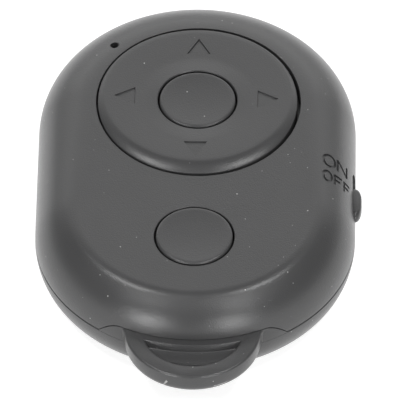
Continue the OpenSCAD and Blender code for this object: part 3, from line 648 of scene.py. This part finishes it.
CELL_Y = 11.4
DOOR_D = 21.6
DOOR_GAP = 0.15
DOOR_SKIN = 0.7
BAY_R = 10.25
BAY_WALL = 2.1
BAY_TOP = 3.91
DOOR_EDGE = 0.2
DOOR_STEPS = 128
SCREW_D = 1.7
HEAD_D = 2.8
HEAD_SINK = 0.7
HEAD_H = 1.0
SCREW_GAP = 0.04
WELL_FLARE = (0.1, 0.3)
BOSS_D = 3.5
FAR_BOSS_GAP = 0.3
FAR_BOSS_TURN = math.radians(53.2)
NEAR_BOSS_IN = 3.6
NEAR_BOSS_TURN = math.radians(38)
INNER_SKIN = 0.4
far_boss_r = DOOR_D / 2 + FAR_BOSS_GAP + BOSS_D / 2
near_boss_r = HALF_W - WALL - NEAR_BOSS_IN
far_boss = (far_boss_r * math.cos(FAR_BOSS_TURN), CELL_Y + far_boss_r * math.sin(FAR_BOSS_TURN))
near_boss = (near_boss_r * math.cos(NEAR_BOSS_TURN), -END_Y - near_boss_r * math.sin(NEAR_BOSS_TURN))
screw_places = [(side * x, y) for side in (1, -1) for x, y in (far_boss, near_boss)]
bay = spun([(BAY_R, INNER_SKIN), (BAY_R + BAY_WALL, INNER_SKIN), (BAY_R + BAY_WALL, BAY_TOP),
            (BAY_R, BAY_TOP)])
bosses = []
for x, y in screw_places:
    pillar = spun([(0, INNER_SKIN), (BOSS_D / 2, INNER_SKIN), (BOSS_D / 2, SEAM_Z), (0, SEAM_Z)], 32)
    bosses.append(placed(pillar, Matrix.Translation((x, y, 0))))
inner_limit = round_ended([(0, INNER_SKIN)]
                          + [p for p in underside_points(16, INNER_SKIN)[::-1] if p[1] > INNER_SKIN]
                          + [(HALF_W - INNER_SKIN, SEAM_Z + OVER), (0, SEAM_Z + OVER)], 36, 4)
inner = combine(placed(bay, Matrix.Translation((0, CELL_Y, 0))), bosses, "UNION")
lower = combine(lower, [combine(inner, [inner_limit], "INTERSECT")], "UNION")
door_r = DOOR_D / 2 + DOOR_GAP
door_hole = spun([(0, -OVER), (door_r + 3 * DOOR_EDGE, -OVER), (door_r + DOOR_EDGE, 0),
                  (door_r, DOOR_EDGE), (door_r, DOOR_SKIN), (BAY_R, DOOR_SKIN), (BAY_R, FAR), (0, FAR)],
                 DOOR_STEPS)
cutters = [slot_cutter(), power_slot(), placed(door_hole, Matrix.Translation((0, CELL_Y, 0)))]
head_r, shank_r = HEAD_D / 2 + SCREW_GAP, SCREW_D / 2 + SCREW_GAP
small_flare, wide_flare = WELL_FLARE
for x, y in screw_places:
    well = spun([(0, -OVER), (head_r + wide_flare, -OVER), (head_r + small_flare, 0),
                 (head_r, small_flare), (head_r, HEAD_SINK + HEAD_H), (shank_r, HEAD_SINK + HEAD_H),
                 (shank_r, FAR), (0, FAR)], 40)
    cutters.append(placed(well, Matrix.Translation((x, y, 0))))
lower = combine(lower, cutters)
finish_piece("lower_case_half", lower, case_look, "case", ["bottom_shell"])


# The coin cell and its contacts
# A 20 mm lithium cell in a stainless can lies in the bay with its plus side up. Two stamped
# springs of nickel-plated bronze press on its rim and on its underside.
LINES_DEEP = 0.02
STAINLESS = (0.55, 0.55, 0.54)
NICKEL = (0.62, 0.58, 0.5)


def surface(name, colour, rough, metal, cloud, grain, relief, stretch=(1, 1, 1), clear=0.0):
    """A plain finish with cloudy colour and roughness, and a fine grain that may run in lines."""
    look = bpy.data.materials.new(name)
    tree = shader_tree(look)
    place = tree.node("ShaderNodeTexCoord", out=3)
    drawn = tree.node("ShaderNodeMapping", {}, {"Vector": place, "Scale": stretch})
    patches = place.noise(cloud, 3)
    lines = drawn.noise(grain, 2)
    tone = 0.86 + 0.2 * patches + 0.08 * lines
    base = tree.node("ShaderNodeVectorMath", {"operation": "SCALE"}, {0: colour, "Scale": tone})
    bump = tree.node("ShaderNodeBump", {},
                     {"Strength": relief, "Distance": LINES_DEEP * MM, "Height": lines})
    coarse = rough + 0.12 * (patches - 0.5) + 0.06 * (lines - 0.5)
    skin = tree.node("ShaderNodeBsdfPrincipled", {},
                     {"Base Color": base, "Roughness": coarse, "Metallic": metal,
                      "Transmission Weight": clear, "Normal": bump})
    tree.node("ShaderNodeOutputMaterial", {}, {"Surface": skin})
    return look


def dress(look, *names):
    """Gives a look to CAD nodes whose shape is right as it stands."""
    for name in names:
        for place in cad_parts[name].material_slots:
            place.material = look


dress(surface("stainless_cell_can", STAINLESS, 0.28, 1.0, 250, 3000, 0.15, (1, 14, 1)), "coin_cell")
dress(surface("nickel_plated_bronze", NICKEL, 0.3, 1.0, 900, 5000, 0.12, (1, 9, 1)),
      "positive_contact", "negative_contact")


# The battery door
# A round twist door in the same grey plastic as the case, with a slot for a coin in its
# outer face and three lugs that turn in under the edge of the bay.
COIN_SLOT_L = 9.0
COIN_SLOT_W = 1.6
COIN_SLOT_DEEP = 0.5
DOOR_TURN = 25
LUG_GAP = 0.05
LUG_H = 0.45
LUG_ROOT = 0.5
LUG_REACH = 0.8
LUG_ANGLE = 24
door_edge_r = DOOR_D / 2
inner_r = BAY_R - DOOR_GAP
inner_top = FLOOR - LUG_GAP / 2
door = spun([(0, 0), (door_edge_r - DOOR_EDGE, 0), (door_edge_r, DOOR_EDGE),
             (door_edge_r, DOOR_SKIN - LUG_GAP), (inner_r, DOOR_SKIN - LUG_GAP), (inner_r, inner_top),
             (0, inner_top)], DOOR_STEPS)
door = combine(door, [prism(capsule(COIN_SLOT_L, COIN_SLOT_W, 12), -OVER, COIN_SLOT_DEEP)])
lug_low = DOOR_SKIN + LUG_GAP
lug_root_r, lug_tip_r = inner_r - LUG_ROOT, door_edge_r + LUG_REACH
lugs = []
for k in range(3):
    lug = spun([(lug_root_r, lug_low), (lug_tip_r, lug_low), (lug_tip_r, lug_low + LUG_H),
                (lug_root_r, lug_low + LUG_H)], 8, math.radians(LUG_ANGLE))
    first_edge = 90 + DOOR_TURN / 2 - LUG_ANGLE / 2
    lugs.append(placed(lug, Matrix.Rotation(math.radians(first_edge + 120 * k), 4, "Z")))
door = combine(door, lugs, "UNION")
placed(door, Matrix.Translation((0, CELL_Y, 0)))
finish_piece("twist_door", door, case_look, "door", ["battery_door"])


# The circuit board and what is soldered to it
# A board of green glass laminate with gold pads carries the radio chip, its crystal and
# capacitors, the lamp and the switches, all soldered on its upper side.
MASK_GREEN = (0.01, 0.075, 0.03, 1)
TRACK_GREEN = (0.025, 0.16, 0.06, 1)
PAD_GOLD = (0.72, 0.5, 0.2, 1)
TRACK_DEEP = 0.04
TINNED_STEEL = (0.5, 0.5, 0.49)
BLACK_NYLON = (0.02, 0.02, 0.021)
CHIP_RESIN = (0.03, 0.03, 0.032)
TAN_CERAMIC = (0.42, 0.3, 0.18)
LAMP_RESIN = (0.8, 0.82, 0.85)
CLEAR_ACRYLIC = (0.9, 0.92, 0.94)


def laminate(name):
    """Green solder mask over copper: raised tracks at many angles, and gold pads."""
    look = bpy.data.materials.new(name)
    tree = shader_tree(look)
    place = tree.node("ShaderNodeTexCoord", out=3)
    cells = tree.node("ShaderNodeTexVoronoi", {"feature": "DISTANCE_TO_EDGE"},
                      {"Vector": place, "Scale": 420, "Randomness": 0.35})
    dots = tree.node("ShaderNodeTexVoronoi", {"feature": "F1"},
                     {"Vector": place, "Scale": 300, "Randomness": 0.6})
    mottle = place.noise(700, 3)
    track = 1 - cells.smooth(0.06, 0.09)
    pad = 1 - dots.smooth(0.1, 0.13)
    mask = tree.node("ShaderNodeMix", {"data_type": "RGBA"},
                     {0: track, 6: MASK_GREEN, 7: TRACK_GREEN}, out=2)
    shade = tree.node("ShaderNodeMix", {"data_type": "RGBA"}, {0: pad, 6: mask, 7: PAD_GOLD}, out=2)
    bump = tree.node("ShaderNodeBump", {},
                     {"Strength": 0.4, "Distance": TRACK_DEEP * MM, "Height": track + pad})
    skin = tree.node("ShaderNodeBsdfPrincipled", {},
                     {"Base Color": shade, "Roughness": 0.34 + 0.1 * mottle, "Metallic": pad,
                      "Normal": bump})
    tree.node("ShaderNodeOutputMaterial", {}, {"Surface": skin})
    return look


dress(laminate("green_board_laminate"), "circuit_board")
dress(surface("tinned_switch_can", TINNED_STEEL, 0.34, 1.0, 700, 5000, 0.15, (1, 10, 1)),
      "centre_switch", "shutter_switch", "crystal")
dress(surface("black_nylon", BLACK_NYLON, 0.42, 0.0, 600, 7000, 0.2),
      "centre_plunger", "shutter_plunger", "slide_lever", "slide_switch")
dress(surface("moulded_chip_resin", CHIP_RESIN, 0.5, 0.0, 500, 9000, 0.4), "radio_chip")
dress(surface("tan_ceramic", TAN_CERAMIC, 0.38, 0.0, 1500, 9000, 0.15), "chip_capacitors")
dress(surface("lamp_resin", LAMP_RESIN, 0.18, 0.0, 900, 4000, 0.05), "status_led")
dress(surface("clear_acrylic", CLEAR_ACRYLIC, 0.08, 0.0, 500, 3000, 0.03, clear=1.0), "light_pipe")


# The four snap domes
# Shallow caps punched from sprung stainless strip, one on the board under each foot of the
# direction ring. A real dome goes flat under its foot with a click and springs back; here each is drawn
# at rest, fixed to the case.
SPRING_STEEL = (0.6, 0.6, 0.58)
RING_Y = 7.5
BOARD_DEPTH = 6.5
FOOT_R = 8.4
DOME_D = 5.0
DOME_H = 0.4
DOME_T = 0.12
spring_look = surface("polished_spring_steel", SPRING_STEEL, 0.22, 1.0, 900, 7000, 0.08)
cap_r = (DOME_D ** 2 / 4 + DOME_H ** 2) / (2 * DOME_H)
cap_low = math.asin((cap_r - DOME_H) / cap_r)
inner_low = math.asin((cap_r - DOME_H) / (cap_r - DOME_T))
cap_outline = (arc((0, DOME_H - cap_r), cap_r, math.pi / 2, cap_low, 12)
               + arc((0, DOME_H - cap_r), cap_r - DOME_T, inner_low, math.pi / 2, 12))
DOME_SIDES = {"up": (90, "ring_rock_up_down"), "down": (-90, "ring_rock_up_down"),
              "left": (180, "ring_rock_left_right"), "right": (0, "ring_rock_left_right")}
for side, (degrees, joint) in DOME_SIDES.items():
    x = FOOT_R * math.cos(math.radians(degrees))
    y = RING_Y + FOOT_R * math.sin(math.radians(degrees))
    seat = KEY_FRAME @ Matrix.Translation((x, y, -BOARD_DEPTH))
    dome = placed(spun(cap_outline, 48), seat)
    piece = finish_piece("snap_dome_" + side, dome, spring_look, "case", ["dome_" + side])
    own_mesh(piece)


# The rocker frame
# A ring of black acetal under the direction ring. It rocks on two ears of the case, and the
# direction ring rocks on it across, so that the ring tips to all four sides.
ACETAL = (0.03, 0.03, 0.031)
dress(surface("black_acetal", ACETAL, 0.36, 0.0, 300, 6000, 0.15), "rocker_frame")


# The direction ring
# A ring with four engraved arrows, moulded in the grey of the case with a finer skin. Its face
# stands level, so the near side is proud of the sloping case, and it has a wide rounded rim there.
RING_R = 11.9
RING_OFF = Vector((0.03, -0.17, 0))
RING_OFF_FROM = 11.0
BUTTON_HOLE_D = 9.5
BORE_OFF = Vector((0.02, -0.2, 0))
BORE_OFF_TO = 6.0
BORE_EDGE = 0.1
RING_NEAR = 0.65
RING_HIGH = 0.11
RING_IN = 0.34
RING_CROWN = -0.04
SLOPE_R = 7.0
RIM_BAND = 1.5
RIM_WIDTH = 0.3
RIM_WIDTH_NEAR = 1.4
RIM_DROP = 0.2
RIM_DROP_NEAR = 0.42
FACE_T = 1.6
SKIRT_T = 1.1
FLANGE_TOP = 2.1
RING_BASE = 3.0
FLANGE_R = 12.85
FOOT_D = 2.2
FOOT_END = 6.05
FOOT_ROOT = 0.8
PIVOT_DEPTH = 4.2
PIVOT_BORE_R = 0.55
PIVOT_REACH = 3.0
EAR_W = 2.6
EAR_DROP = 1.0
LUG_Y = 11.5
LUG_T = 1.0
LUG_TOP = 2.6
ARROW_L = 2.35
ARROW_TIP = 9.7
ARROW_W = 2.62
ARROW_DEEP = 0.2
ARROW_CUT = 0.6
ARROW_FLARE = 0.35
ARROW_OFF = ((-0.12, 0.05, 0), (0.04, 0.24, 0), (-0.14, 0.35, 0), (-0.12, 0.05, 0))
KEY_GREY = (0.046, 0.046, 0.047, 1)
KEY_ROUGH = 0.3
KEY_GRAIN = 0.5
KEY_DUST = 0.4
key_look = plastic("smooth_key_plastic", KEY_GREY, KEY_ROUGH, KEY_GRAIN, KEY_DUST)
hole_r = BUTTON_HOLE_D / 2
slope_start = hole_r + BORE_EDGE
rim_start = RING_R - RIM_BAND
flat_run = rim_start - SLOPE_R


def clamp(t):
    """A share kept from 0 to 1."""
    return min(max(t, 0), 1)


def ease(t):
    """A soft step for a share from 0 to 1."""
    return t * t * (3 - 2 * t)


def rim_height(y):
    """The ring's flat stands level, so it is proud of the sloping case at its near side."""
    return (RING_NEAR + RING_HIGH) / 2 - (RING_NEAR - RING_HIGH) / 2 * y / RING_R


def dress_ring(bm):
    """Presses the flat top into the slope round the bore, the level face and the rounded rim."""
    for vert in bm.verts:
        x, y, z = vert.co
        r = math.hypot(x, y)
        if z < -FACE_T / 2:
            continue
        near = ease(clamp(0.5 - y / (2 * RING_R))) ** 1.5
        width = RIM_WIDTH + RIM_WIDTH_NEAR * near
        drop = RIM_DROP + RIM_DROP_NEAR * near
        if r > rim_start:
            a = math.asin(min((r - rim_start) / RIM_BAND, 1))
            r_new = RING_R - width + width * math.sin(a)
            high = rim_height(y) - drop * (0.75 * math.sin(a) ** 1.6 + 0.25 * (1 - math.cos(a)))
        else:
            stretch = (RING_R - width - SLOPE_R) / flat_run
            r_new = r if r < SLOPE_R else SLOPE_R + (r - SLOPE_R) * stretch
            crown = rim_height(y) + RING_CROWN * (1 - clamp((r - SLOPE_R) / flat_run)) ** 2
            inwards = clamp((SLOPE_R - r) / (SLOPE_R - slope_start))
            at_bore = r < slope_start - BORE_EDGE / 2
            high = crown + (RING_IN - crown) * inwards ** 1.6 - BORE_EDGE * at_bore
        vert.co = (x * r_new / r, y * r_new / r, high)


def block(low, high):
    """A box between two corners."""
    low, high = Vector(low), Vector(high)
    bm = bmesh.new()
    size = Matrix.Diagonal(high - low).to_4x4()
    bmesh.ops.create_cube(bm, size=1, matrix=Matrix.Translation((low + high) / 2) @ size)
    return bm


def pierced(ear, place, turned_about):
    """An ear with a bore for a pin of the rocker frame."""
    bore = spun([(0, -PIVOT_REACH), (PIVOT_BORE_R, -PIVOT_REACH), (PIVOT_BORE_R, PIVOT_REACH),
                 (0, PIVOT_REACH)], 24)
    along = Matrix.Rotation(math.pi / 2, 4, turned_about)
    return combine(ear, [placed(bore, Matrix.Translation(place) @ along)])


def arrow_cutter():
    """The outline of one arrow that points along X, flared towards its mouth."""
    arrow = prism([(ARROW_TIP - ARROW_L, -ARROW_W / 2), (ARROW_TIP, 0),
                   (ARROW_TIP - ARROW_L, ARROW_W / 2)], -ARROW_DEEP, ARROW_CUT)
    middle = ARROW_TIP - ARROW_L / 1.5
    for vert in arrow.verts:
        if vert.co.z > 0:
            vert.co.x += ARROW_FLARE * (vert.co.x - middle)
            vert.co.y *= 1 + ARROW_FLARE
    return arrow


face = [(hole_r, 0)] + [(slope_start + (SLOPE_R - slope_start) * i / 14, 0) for i in range(15)]
face += [(SLOPE_R + flat_run * i / 8, 0) for i in range(1, 9)]
face += [(rim_start + RIM_BAND * math.sin(a), 0) for a in quarter(18)[1:]]
ring = spun(face + [(RING_R, -FLANGE_TOP), (FLANGE_R, -FLANGE_TOP), (FLANGE_R, -RING_BASE),
                    (RING_R - SKIRT_T, -RING_BASE), (RING_R - SKIRT_T, -FACE_T),
                    (hole_r + SKIRT_T, -FACE_T), (hole_r + SKIRT_T, -RING_BASE),
                    (hole_r, -RING_BASE)], 180)
dress_ring(ring)
for vert in ring.verts:
    part = clamp((math.hypot(vert.co.x, vert.co.y) - BORE_OFF_TO) / (RING_OFF_FROM - BORE_OFF_TO))
    vert.co += RING_OFF * part + BORE_OFF * (1 - part)
feet = []
arrows = []
for k in range(4):
    around = Matrix.Rotation(math.radians(90 * k), 4, "Z")
    foot = spun([(0, -FOOT_END), (FOOT_D / 2, -FOOT_END), (FOOT_D / 2, -FOOT_ROOT), (0, -FOOT_ROOT)], 24)
    feet.append(placed(foot, around @ Matrix.Translation((FOOT_R, 0, 0))))
    arrow = placed(arrow_cutter(), Matrix.Translation(ARROW_OFF[k]) @ around)
    for vert in arrow.verts:
        vert.co.z += rim_height(vert.co.y)
    arrows.append(arrow)
ear_low = -PIVOT_DEPTH - EAR_DROP
for half_turn in (0, math.pi):
    lug = block((-EAR_W / 2, LUG_Y, ear_low), (EAR_W / 2, LUG_Y + LUG_T, -LUG_TOP))
    lug = pierced(lug, (0, LUG_Y + LUG_T / 2, -PIVOT_DEPTH), "X")
    feet.append(placed(lug, Matrix.Rotation(half_turn, 4, "Z")))
ring = combine(combine(ring, feet, "UNION"), arrows)
placed(ring, KEY_FRAME @ Matrix.Translation((0, RING_Y, 0)))
finish_piece("four_way_ring", ring, key_look, "ring", ["direction_ring"])


# The centre button and the shutter button
# Two round caps with a slightly hollowed top and a rounded edge, each moulded with the flange
# that keeps it in the case and the stem that presses its switch.
BUTTON_R = 4.55
BUTTON_EDGE = 0.28
BUTTON_HOLLOW = 0.12
BUTTON_FLANGE = 1.0
STEM_R = 1.6
STEM_END = 4.47
CENTRE_SINK = 0.1
CENTRE_FLANGE = (3.415, 0.65)
SHUTTER_Y = -14.7
SHUTTER_TOP = 0.05
SHUTTER_FLANGE = (1.75, 0.75)


def push_button(cap_top, flange):
    """A hollowed cap with a rounded edge, on a flange of a given depth and height, and a stem."""
    flat_r = BUTTON_R - BUTTON_EDGE
    flange_top, flange_h = flange
    flange_low = flange_top + flange_h
    cap = [(flat_r * i / 14, cap_top + BUTTON_HOLLOW * (i / 14) ** 2) for i in range(15)]
    for a in quarter(8)[1:]:
        cap.append((flat_r + BUTTON_EDGE * math.sin(a),
                    cap_top + BUTTON_HOLLOW - BUTTON_EDGE * (1 - math.cos(a))))
    return spun(cap + [(BUTTON_R, -flange_top), (BUTTON_R + BUTTON_FLANGE, -flange_top),
                       (BUTTON_R + BUTTON_FLANGE, -flange_low), (STEM_R, -flange_low),
                       (STEM_R, -STEM_END), (0, -STEM_END)], 128)


centre = placed(push_button(RING_IN - CENTRE_SINK, CENTRE_FLANGE),
                KEY_FRAME @ Matrix.Translation((BORE_OFF.x, RING_Y + BORE_OFF.y, 0)))
finish_piece("round_centre_button", centre, key_look, "centre_key", ["centre_button"])
shutter = placed(push_button(SHUTTER_TOP, SHUTTER_FLANGE),
                 KEY_FRAME @ Matrix.Translation((0, SHUTTER_Y, 0)))
finish_piece("round_shutter_button", shutter, key_look, "shutter_key", ["shutter_button"])


# The power knob
# A small domed slider in the slot at the switch side, with one groove across it. A plate
# behind the wall keeps it in, and its hollow takes the lever of the slide switch.
KNOB_OUT = 0.75
KNOB_SINK = 0.1
KNOB_DOME_TURN = 85.2
KNOB_DOME_STEPS = 12
PLATE_GAP = 0.48
PLATE_T = 0.4
PLATE_H = 2.3
PLATE_GROW = 0.8
LEVER_W = 1.3
LEVER_H = 0.7
LEVER_END_X = 18.7
GROOVE_R = 0.2
GROOVE_Y = 0.95
GROOVE_REACH = 2.0
knob_x = HALF_W - WALL - PLATE_GAP - PLATE_T
knob_y = POWER_Y - POWER_TRAVEL / 2
dome_x = HALF_W - KNOB_SINK
outline = capsule(KNOB_L, KNOB_H)
levels = [(outline, knob_x)]
for i in range(KNOB_DOME_STEPS + 1):
    a = math.radians(KNOB_DOME_TURN * i / KNOB_DOME_STEPS)
    long, tall = math.cos(a) ** 0.7, math.cos(a) ** 0.5
    levels.append(([(y * long, z * tall) for y, z in outline],
                   dome_x + (KNOB_OUT + KNOB_SINK) * math.sin(a)))
knob = placed(stacked(levels), OUTWARDS)
plate = block((knob_x, -KNOB_L / 2 - PLATE_GROW, -PLATE_H / 2),
              (knob_x + PLATE_T, KNOB_L / 2 + PLATE_GROW, PLATE_H / 2))
knob = combine(knob, [plate], "UNION")
hollow = block((knob_x - OVER, -LEVER_W / 2, -LEVER_H / 2), (LEVER_END_X, LEVER_W / 2, LEVER_H / 2))
groove = spun([(0, -GROOVE_REACH), (GROOVE_R, -GROOVE_REACH), (GROOVE_R, GROOVE_REACH),
               (0, GROOVE_REACH)], 20)
placed(groove, Matrix.Translation((HALF_W + KNOB_OUT, GROOVE_Y, 0)))
knob = combine(knob, [hollow, groove])
placed(knob, KEY_FRAME @ Matrix.Translation((0, knob_y, -POWER_DEPTH)))
finish_piece("power_slider", knob, key_look, "power", ["power_knob"])


# The upper case half
# One moulding with a round hole for the ring, a smaller one for the shutter button, a
# pinhole for the light on the far left shoulder and a slot for the power switch.
ROOF = 1.5
RING_HOLE_D = 24.4
RING_HOLE_DEEP = 3.2
HOLE_OFF = Vector((0.13, -0.19, 0))
HOLE_EDGE = 0.06
HOLE_DEEP = 6.0
CASE_GAP = 0.05
UPPER_EDGE = 0.12
HARD_CREASE = 0.01
PINHOLE = (-10.13, 16.75)
PINHOLE_D = 1.0
BOSS_TOP = 11.5
BOSS_BORE_TOP = 9.0
THREAD_GAP = 0.02
POST_D = 3.0
POST_TOP = 0.8
POST_BORE_TOP = 3.1
POST_SIDE_IN = 4.4
POST_END_IN = 3.0
POST_BACK = 2.0
BOARD_SCREW_D = 1.2
EAR_X = 13.55
EAR_T = 1.1
EAR_TOP = 1.3
EAR_BORE_X = 14.0
OUTER_SKIN = 1.0


def boss(outer_d, bore_d, low, bore_top, top):
    """A round boss with a blind hole for a screw from below."""
    bore_r = bore_d / 2 + THREAD_GAP
    return spun([(bore_r, low), (outer_d / 2, low), (outer_d / 2, top), (0, top), (0, bore_top),
                 (bore_r, bore_top)], 32)


def hole_cutter(radius, edge, depth, high=0.0):
    """A round cutter with a flare at its mouth, which leaves a small edge on the hole."""
    return spun([(0, -depth), (radius, -depth), (radius, high - edge), (radius + 2 * edge, high + edge),
                 (radius + 2 * edge, high + OVER), (0, high + OVER)], 128)


def shoulder_height(inward):
    """Height of the untrimmed outer form at a distance in from the widest outline."""
    u = max(1 - inward / SHOULDER_RUN, 0)
    return SEAM_Z + (APEX_Z - SEAM_Z) * (1 - u ** SHOULDER_POWER) ** (1 / SHOULDER_POWER)


def skin_height(x, y):
    """Height of the outer form over a place."""
    centre_y = max(-END_Y, min(END_Y, y))
    inward = HALF_W - math.hypot(x, y - centre_y)
    return min(shoulder_height(inward), plane_z(y))


upper_low = SEAM_Z + CASE_GAP
upper = round_ended([(0, upper_low), (HALF_W - UPPER_EDGE, upper_low),
                     (HALF_W - SKIN_STEP, upper_low + SEAM_EDGE)]
                    + shoulder_points(120, lowest=1.2)[1:] + [(0, APEX_Z)])
trim_top(upper)
inside = round_ended([(0, SEAM_Z - OVER), (HALF_W - WALL, SEAM_Z - OVER)] + shoulder_points(24, WALL)
                     + [(0, APEX_Z - WALL)], 36, 4)
trim_top(inside, ROOF, HARD_CREASE)
upper = combine(upper, [inside])
pillars = []
for x, y in screw_places:
    pillar = boss(BOSS_D, SCREW_D, upper_low, BOSS_BORE_TOP, BOSS_TOP)
    pillars.append(placed(pillar, Matrix.Translation((x, y, 0))))
post_x = HALF_W - WALL - POST_SIDE_IN
post_places = ((post_x, -END_Y - POST_BACK), (-post_x, -END_Y - POST_BACK),
               (0, END_Y + HALF_W - WALL - POST_END_IN))
for x, y in post_places:
    post = boss(POST_D, BOARD_SCREW_D, -BOARD_DEPTH, -POST_BORE_TOP, -POST_TOP)
    pillars.append(placed(post, KEY_FRAME @ Matrix.Translation((x, y, 0))))
for half_turn in (0, math.pi):
    ear = block((EAR_X, -EAR_W / 2, ear_low), (EAR_X + EAR_T, EAR_W / 2, -EAR_TOP))
    ear = pierced(ear, (EAR_BORE_X, 0, -PIVOT_DEPTH), "Y")
    flip = Matrix.Rotation(half_turn, 4, "Z")
    pillars.append(placed(ear, KEY_FRAME @ Matrix.Translation((0, RING_Y, 0)) @ flip))
inner_limit = round_ended([(0, SEAM_Z), (HALF_W - OUTER_SKIN, SEAM_Z)]
                          + shoulder_points(24, OUTER_SKIN)[1:] + [(0, APEX_Z - OUTER_SKIN)], 36, 4)
trim_top(inner_limit, OUTER_SKIN, HARD_CREASE)
pillars = combine(combine(pillars[0], pillars[1:], "UNION"), [inner_limit], "INTERSECT")
upper = combine(upper, [pillars], "UNION")
channel_in, channel_out = HALF_W - 2 * WALL, tongue_r + CASE_GAP
channel_low, channel_top = SEAM_Z - OVER, upper_low + LIP_H
channel = round_ended([(channel_in, channel_low), (channel_out, channel_low),
                       (channel_out, channel_top), (channel_in, channel_top),
                       (channel_in, channel_low)])
upper = combine(upper, [channel])

STROKE = 0.36
STROKE_STEP = 0.15
MARK_DEEP = 0.22
MARK_STEP = 0.006
MARK_START_R = 15.0
ROUND_O = [(0.5 * math.sin(math.tau * i / 24), 0.5 * math.cos(math.tau * i / 24)) for i in range(24)]
MARKS = {"O": (ROUND_O,),
         "N": ([(-0.5, -0.5), (-0.5, 0.5)], [(-0.5, 0.5), (0.5, -0.5)], [(0.5, -0.5), (0.5, 0.5)]),
         "F": ([(-0.5, -0.5), (-0.5, 0.5)], [(-0.5, 0.44), (0.5, 0.44)], [(-0.5, 0.0), (0.3, 0.0)])}


def on_shoulder(bm):
    """Bends a flat shape (run down the shoulder, y, height) on to the switch side of the case."""
    section = shoulder_points(240)[::-1]
    first = next(i for i, (r, z) in enumerate(section) if r > MARK_START_R)
    for vert in bm.verts:
        i, left = first, vert.co.x
        while left > (step := math.dist(section[i], section[i + 1])) and i < len(section) - 2:
            left -= step
            i += 1
        (r0, z0), (r1, z1) = section[i], section[i + 1]
        run, fall = (r1 - r0) / step, (z1 - z0) / step
        vert.co = (r0 + run * left - fall * vert.co.z, vert.co.y, z0 + fall * left + run * vert.co.z)
    return bm


def stroke(points, closed, deep):
    """A cutter along a path of (run, y) on the shoulder: one stroke of an engraved mark."""
    dense = []
    ring_of = points + points[:1] if closed else points
    for (x0, y0), (x1, y1) in zip(ring_of, ring_of[1:]):
        parts = max(round(math.dist((x0, y0), (x1, y1)) / STROKE_STEP), 1)
        dense += [(x0 + (x1 - x0) * i / parts, y0 + (y1 - y0) * i / parts) for i in range(parts)]
    if not closed:
        dense.append(points[-1])
    sides = ([], [])
    for i, (x, y) in enumerate(dense):
        before = dense[i - 1] if closed or i else dense[i]
        after = dense[(i + 1) % len(dense)] if closed or i < len(dense) - 1 else dense[i]
        along = Vector((after[0] - before[0], after[1] - before[1])).normalized()
        for side, sign in zip(sides, (1, -1)):
            side.append((x - along.y * sign * STROKE / 2, y + along.x * sign * STROKE / 2))
    bm = bmesh.new()
    edges = []
    for side in sides:
        verts = [bm.verts.new((x, y, -deep)) for x, y in side]
        ends = verts[1:] + verts[:1] if closed else verts[1:]
        edges += [bm.edges.new(pair) for pair in zip(verts, ends)]
    ribbon = bmesh.ops.bridge_loops(bm, edges=edges)["faces"]
    raise_faces(bm, ribbon, 2 * deep)
    bmesh.ops.triangulate(bm, faces=bm.faces)
    bmesh.ops.recalc_face_normals(bm, faces=bm.faces)
    return on_shoulder(bm)


# Each word with the run to its first letter, its pitch, its letters' width and height, and its Y
WORDS = (("ON", 0.95, 2.1, 1.7, 1.8, -1.35), ("OFF", 0.7, 1.64, 1.2, 1.6, -4.0))
marks = []
for word, start, pitch, wide, tall, y in WORDS:
    for i, letter in enumerate(word):
        for path in MARKS[letter]:
            line = [(start + i * pitch + wide * px, y + tall * py) for px, py in path]
            marks.append(stroke(line, letter == "O", MARK_DEEP - MARK_STEP * len(marks)))
pin_high = skin_height(*PINHOLE) - plane_z(PINHOLE[1])
holes = ((RING_HOLE_D, RING_HOLE_DEEP, 0, HOLE_OFF.x, RING_Y + HOLE_OFF.y),
         (BUTTON_HOLE_D, HOLE_DEEP, 0, 0, SHUTTER_Y), (PINHOLE_D, HOLE_DEEP, pin_high, *PINHOLE))
cutters = [placed(hole_cutter(hole_d / 2, HOLE_EDGE, deep, high),
                  KEY_FRAME @ Matrix.Translation((x, y, 0))) for hole_d, deep, high, x, y in holes]
cutters += [lip_prism(2 * CASE_GAP), power_slot()]
upper = combine(combine(upper, cutters), marks)
finish_piece("upper_case_half", upper, case_look, "case", ["top_shell"])


# The screws
# Four cross-head screws hold the case halves together from below, and three hold the board
# to its posts. All are zinc-plated steel.
ZINC = (0.58, 0.59, 0.6)
dress(surface("zinc_plated_steel", ZINC, 0.32, 1.0, 1200, 7000, 0.12), "case_screws", "board_screws")
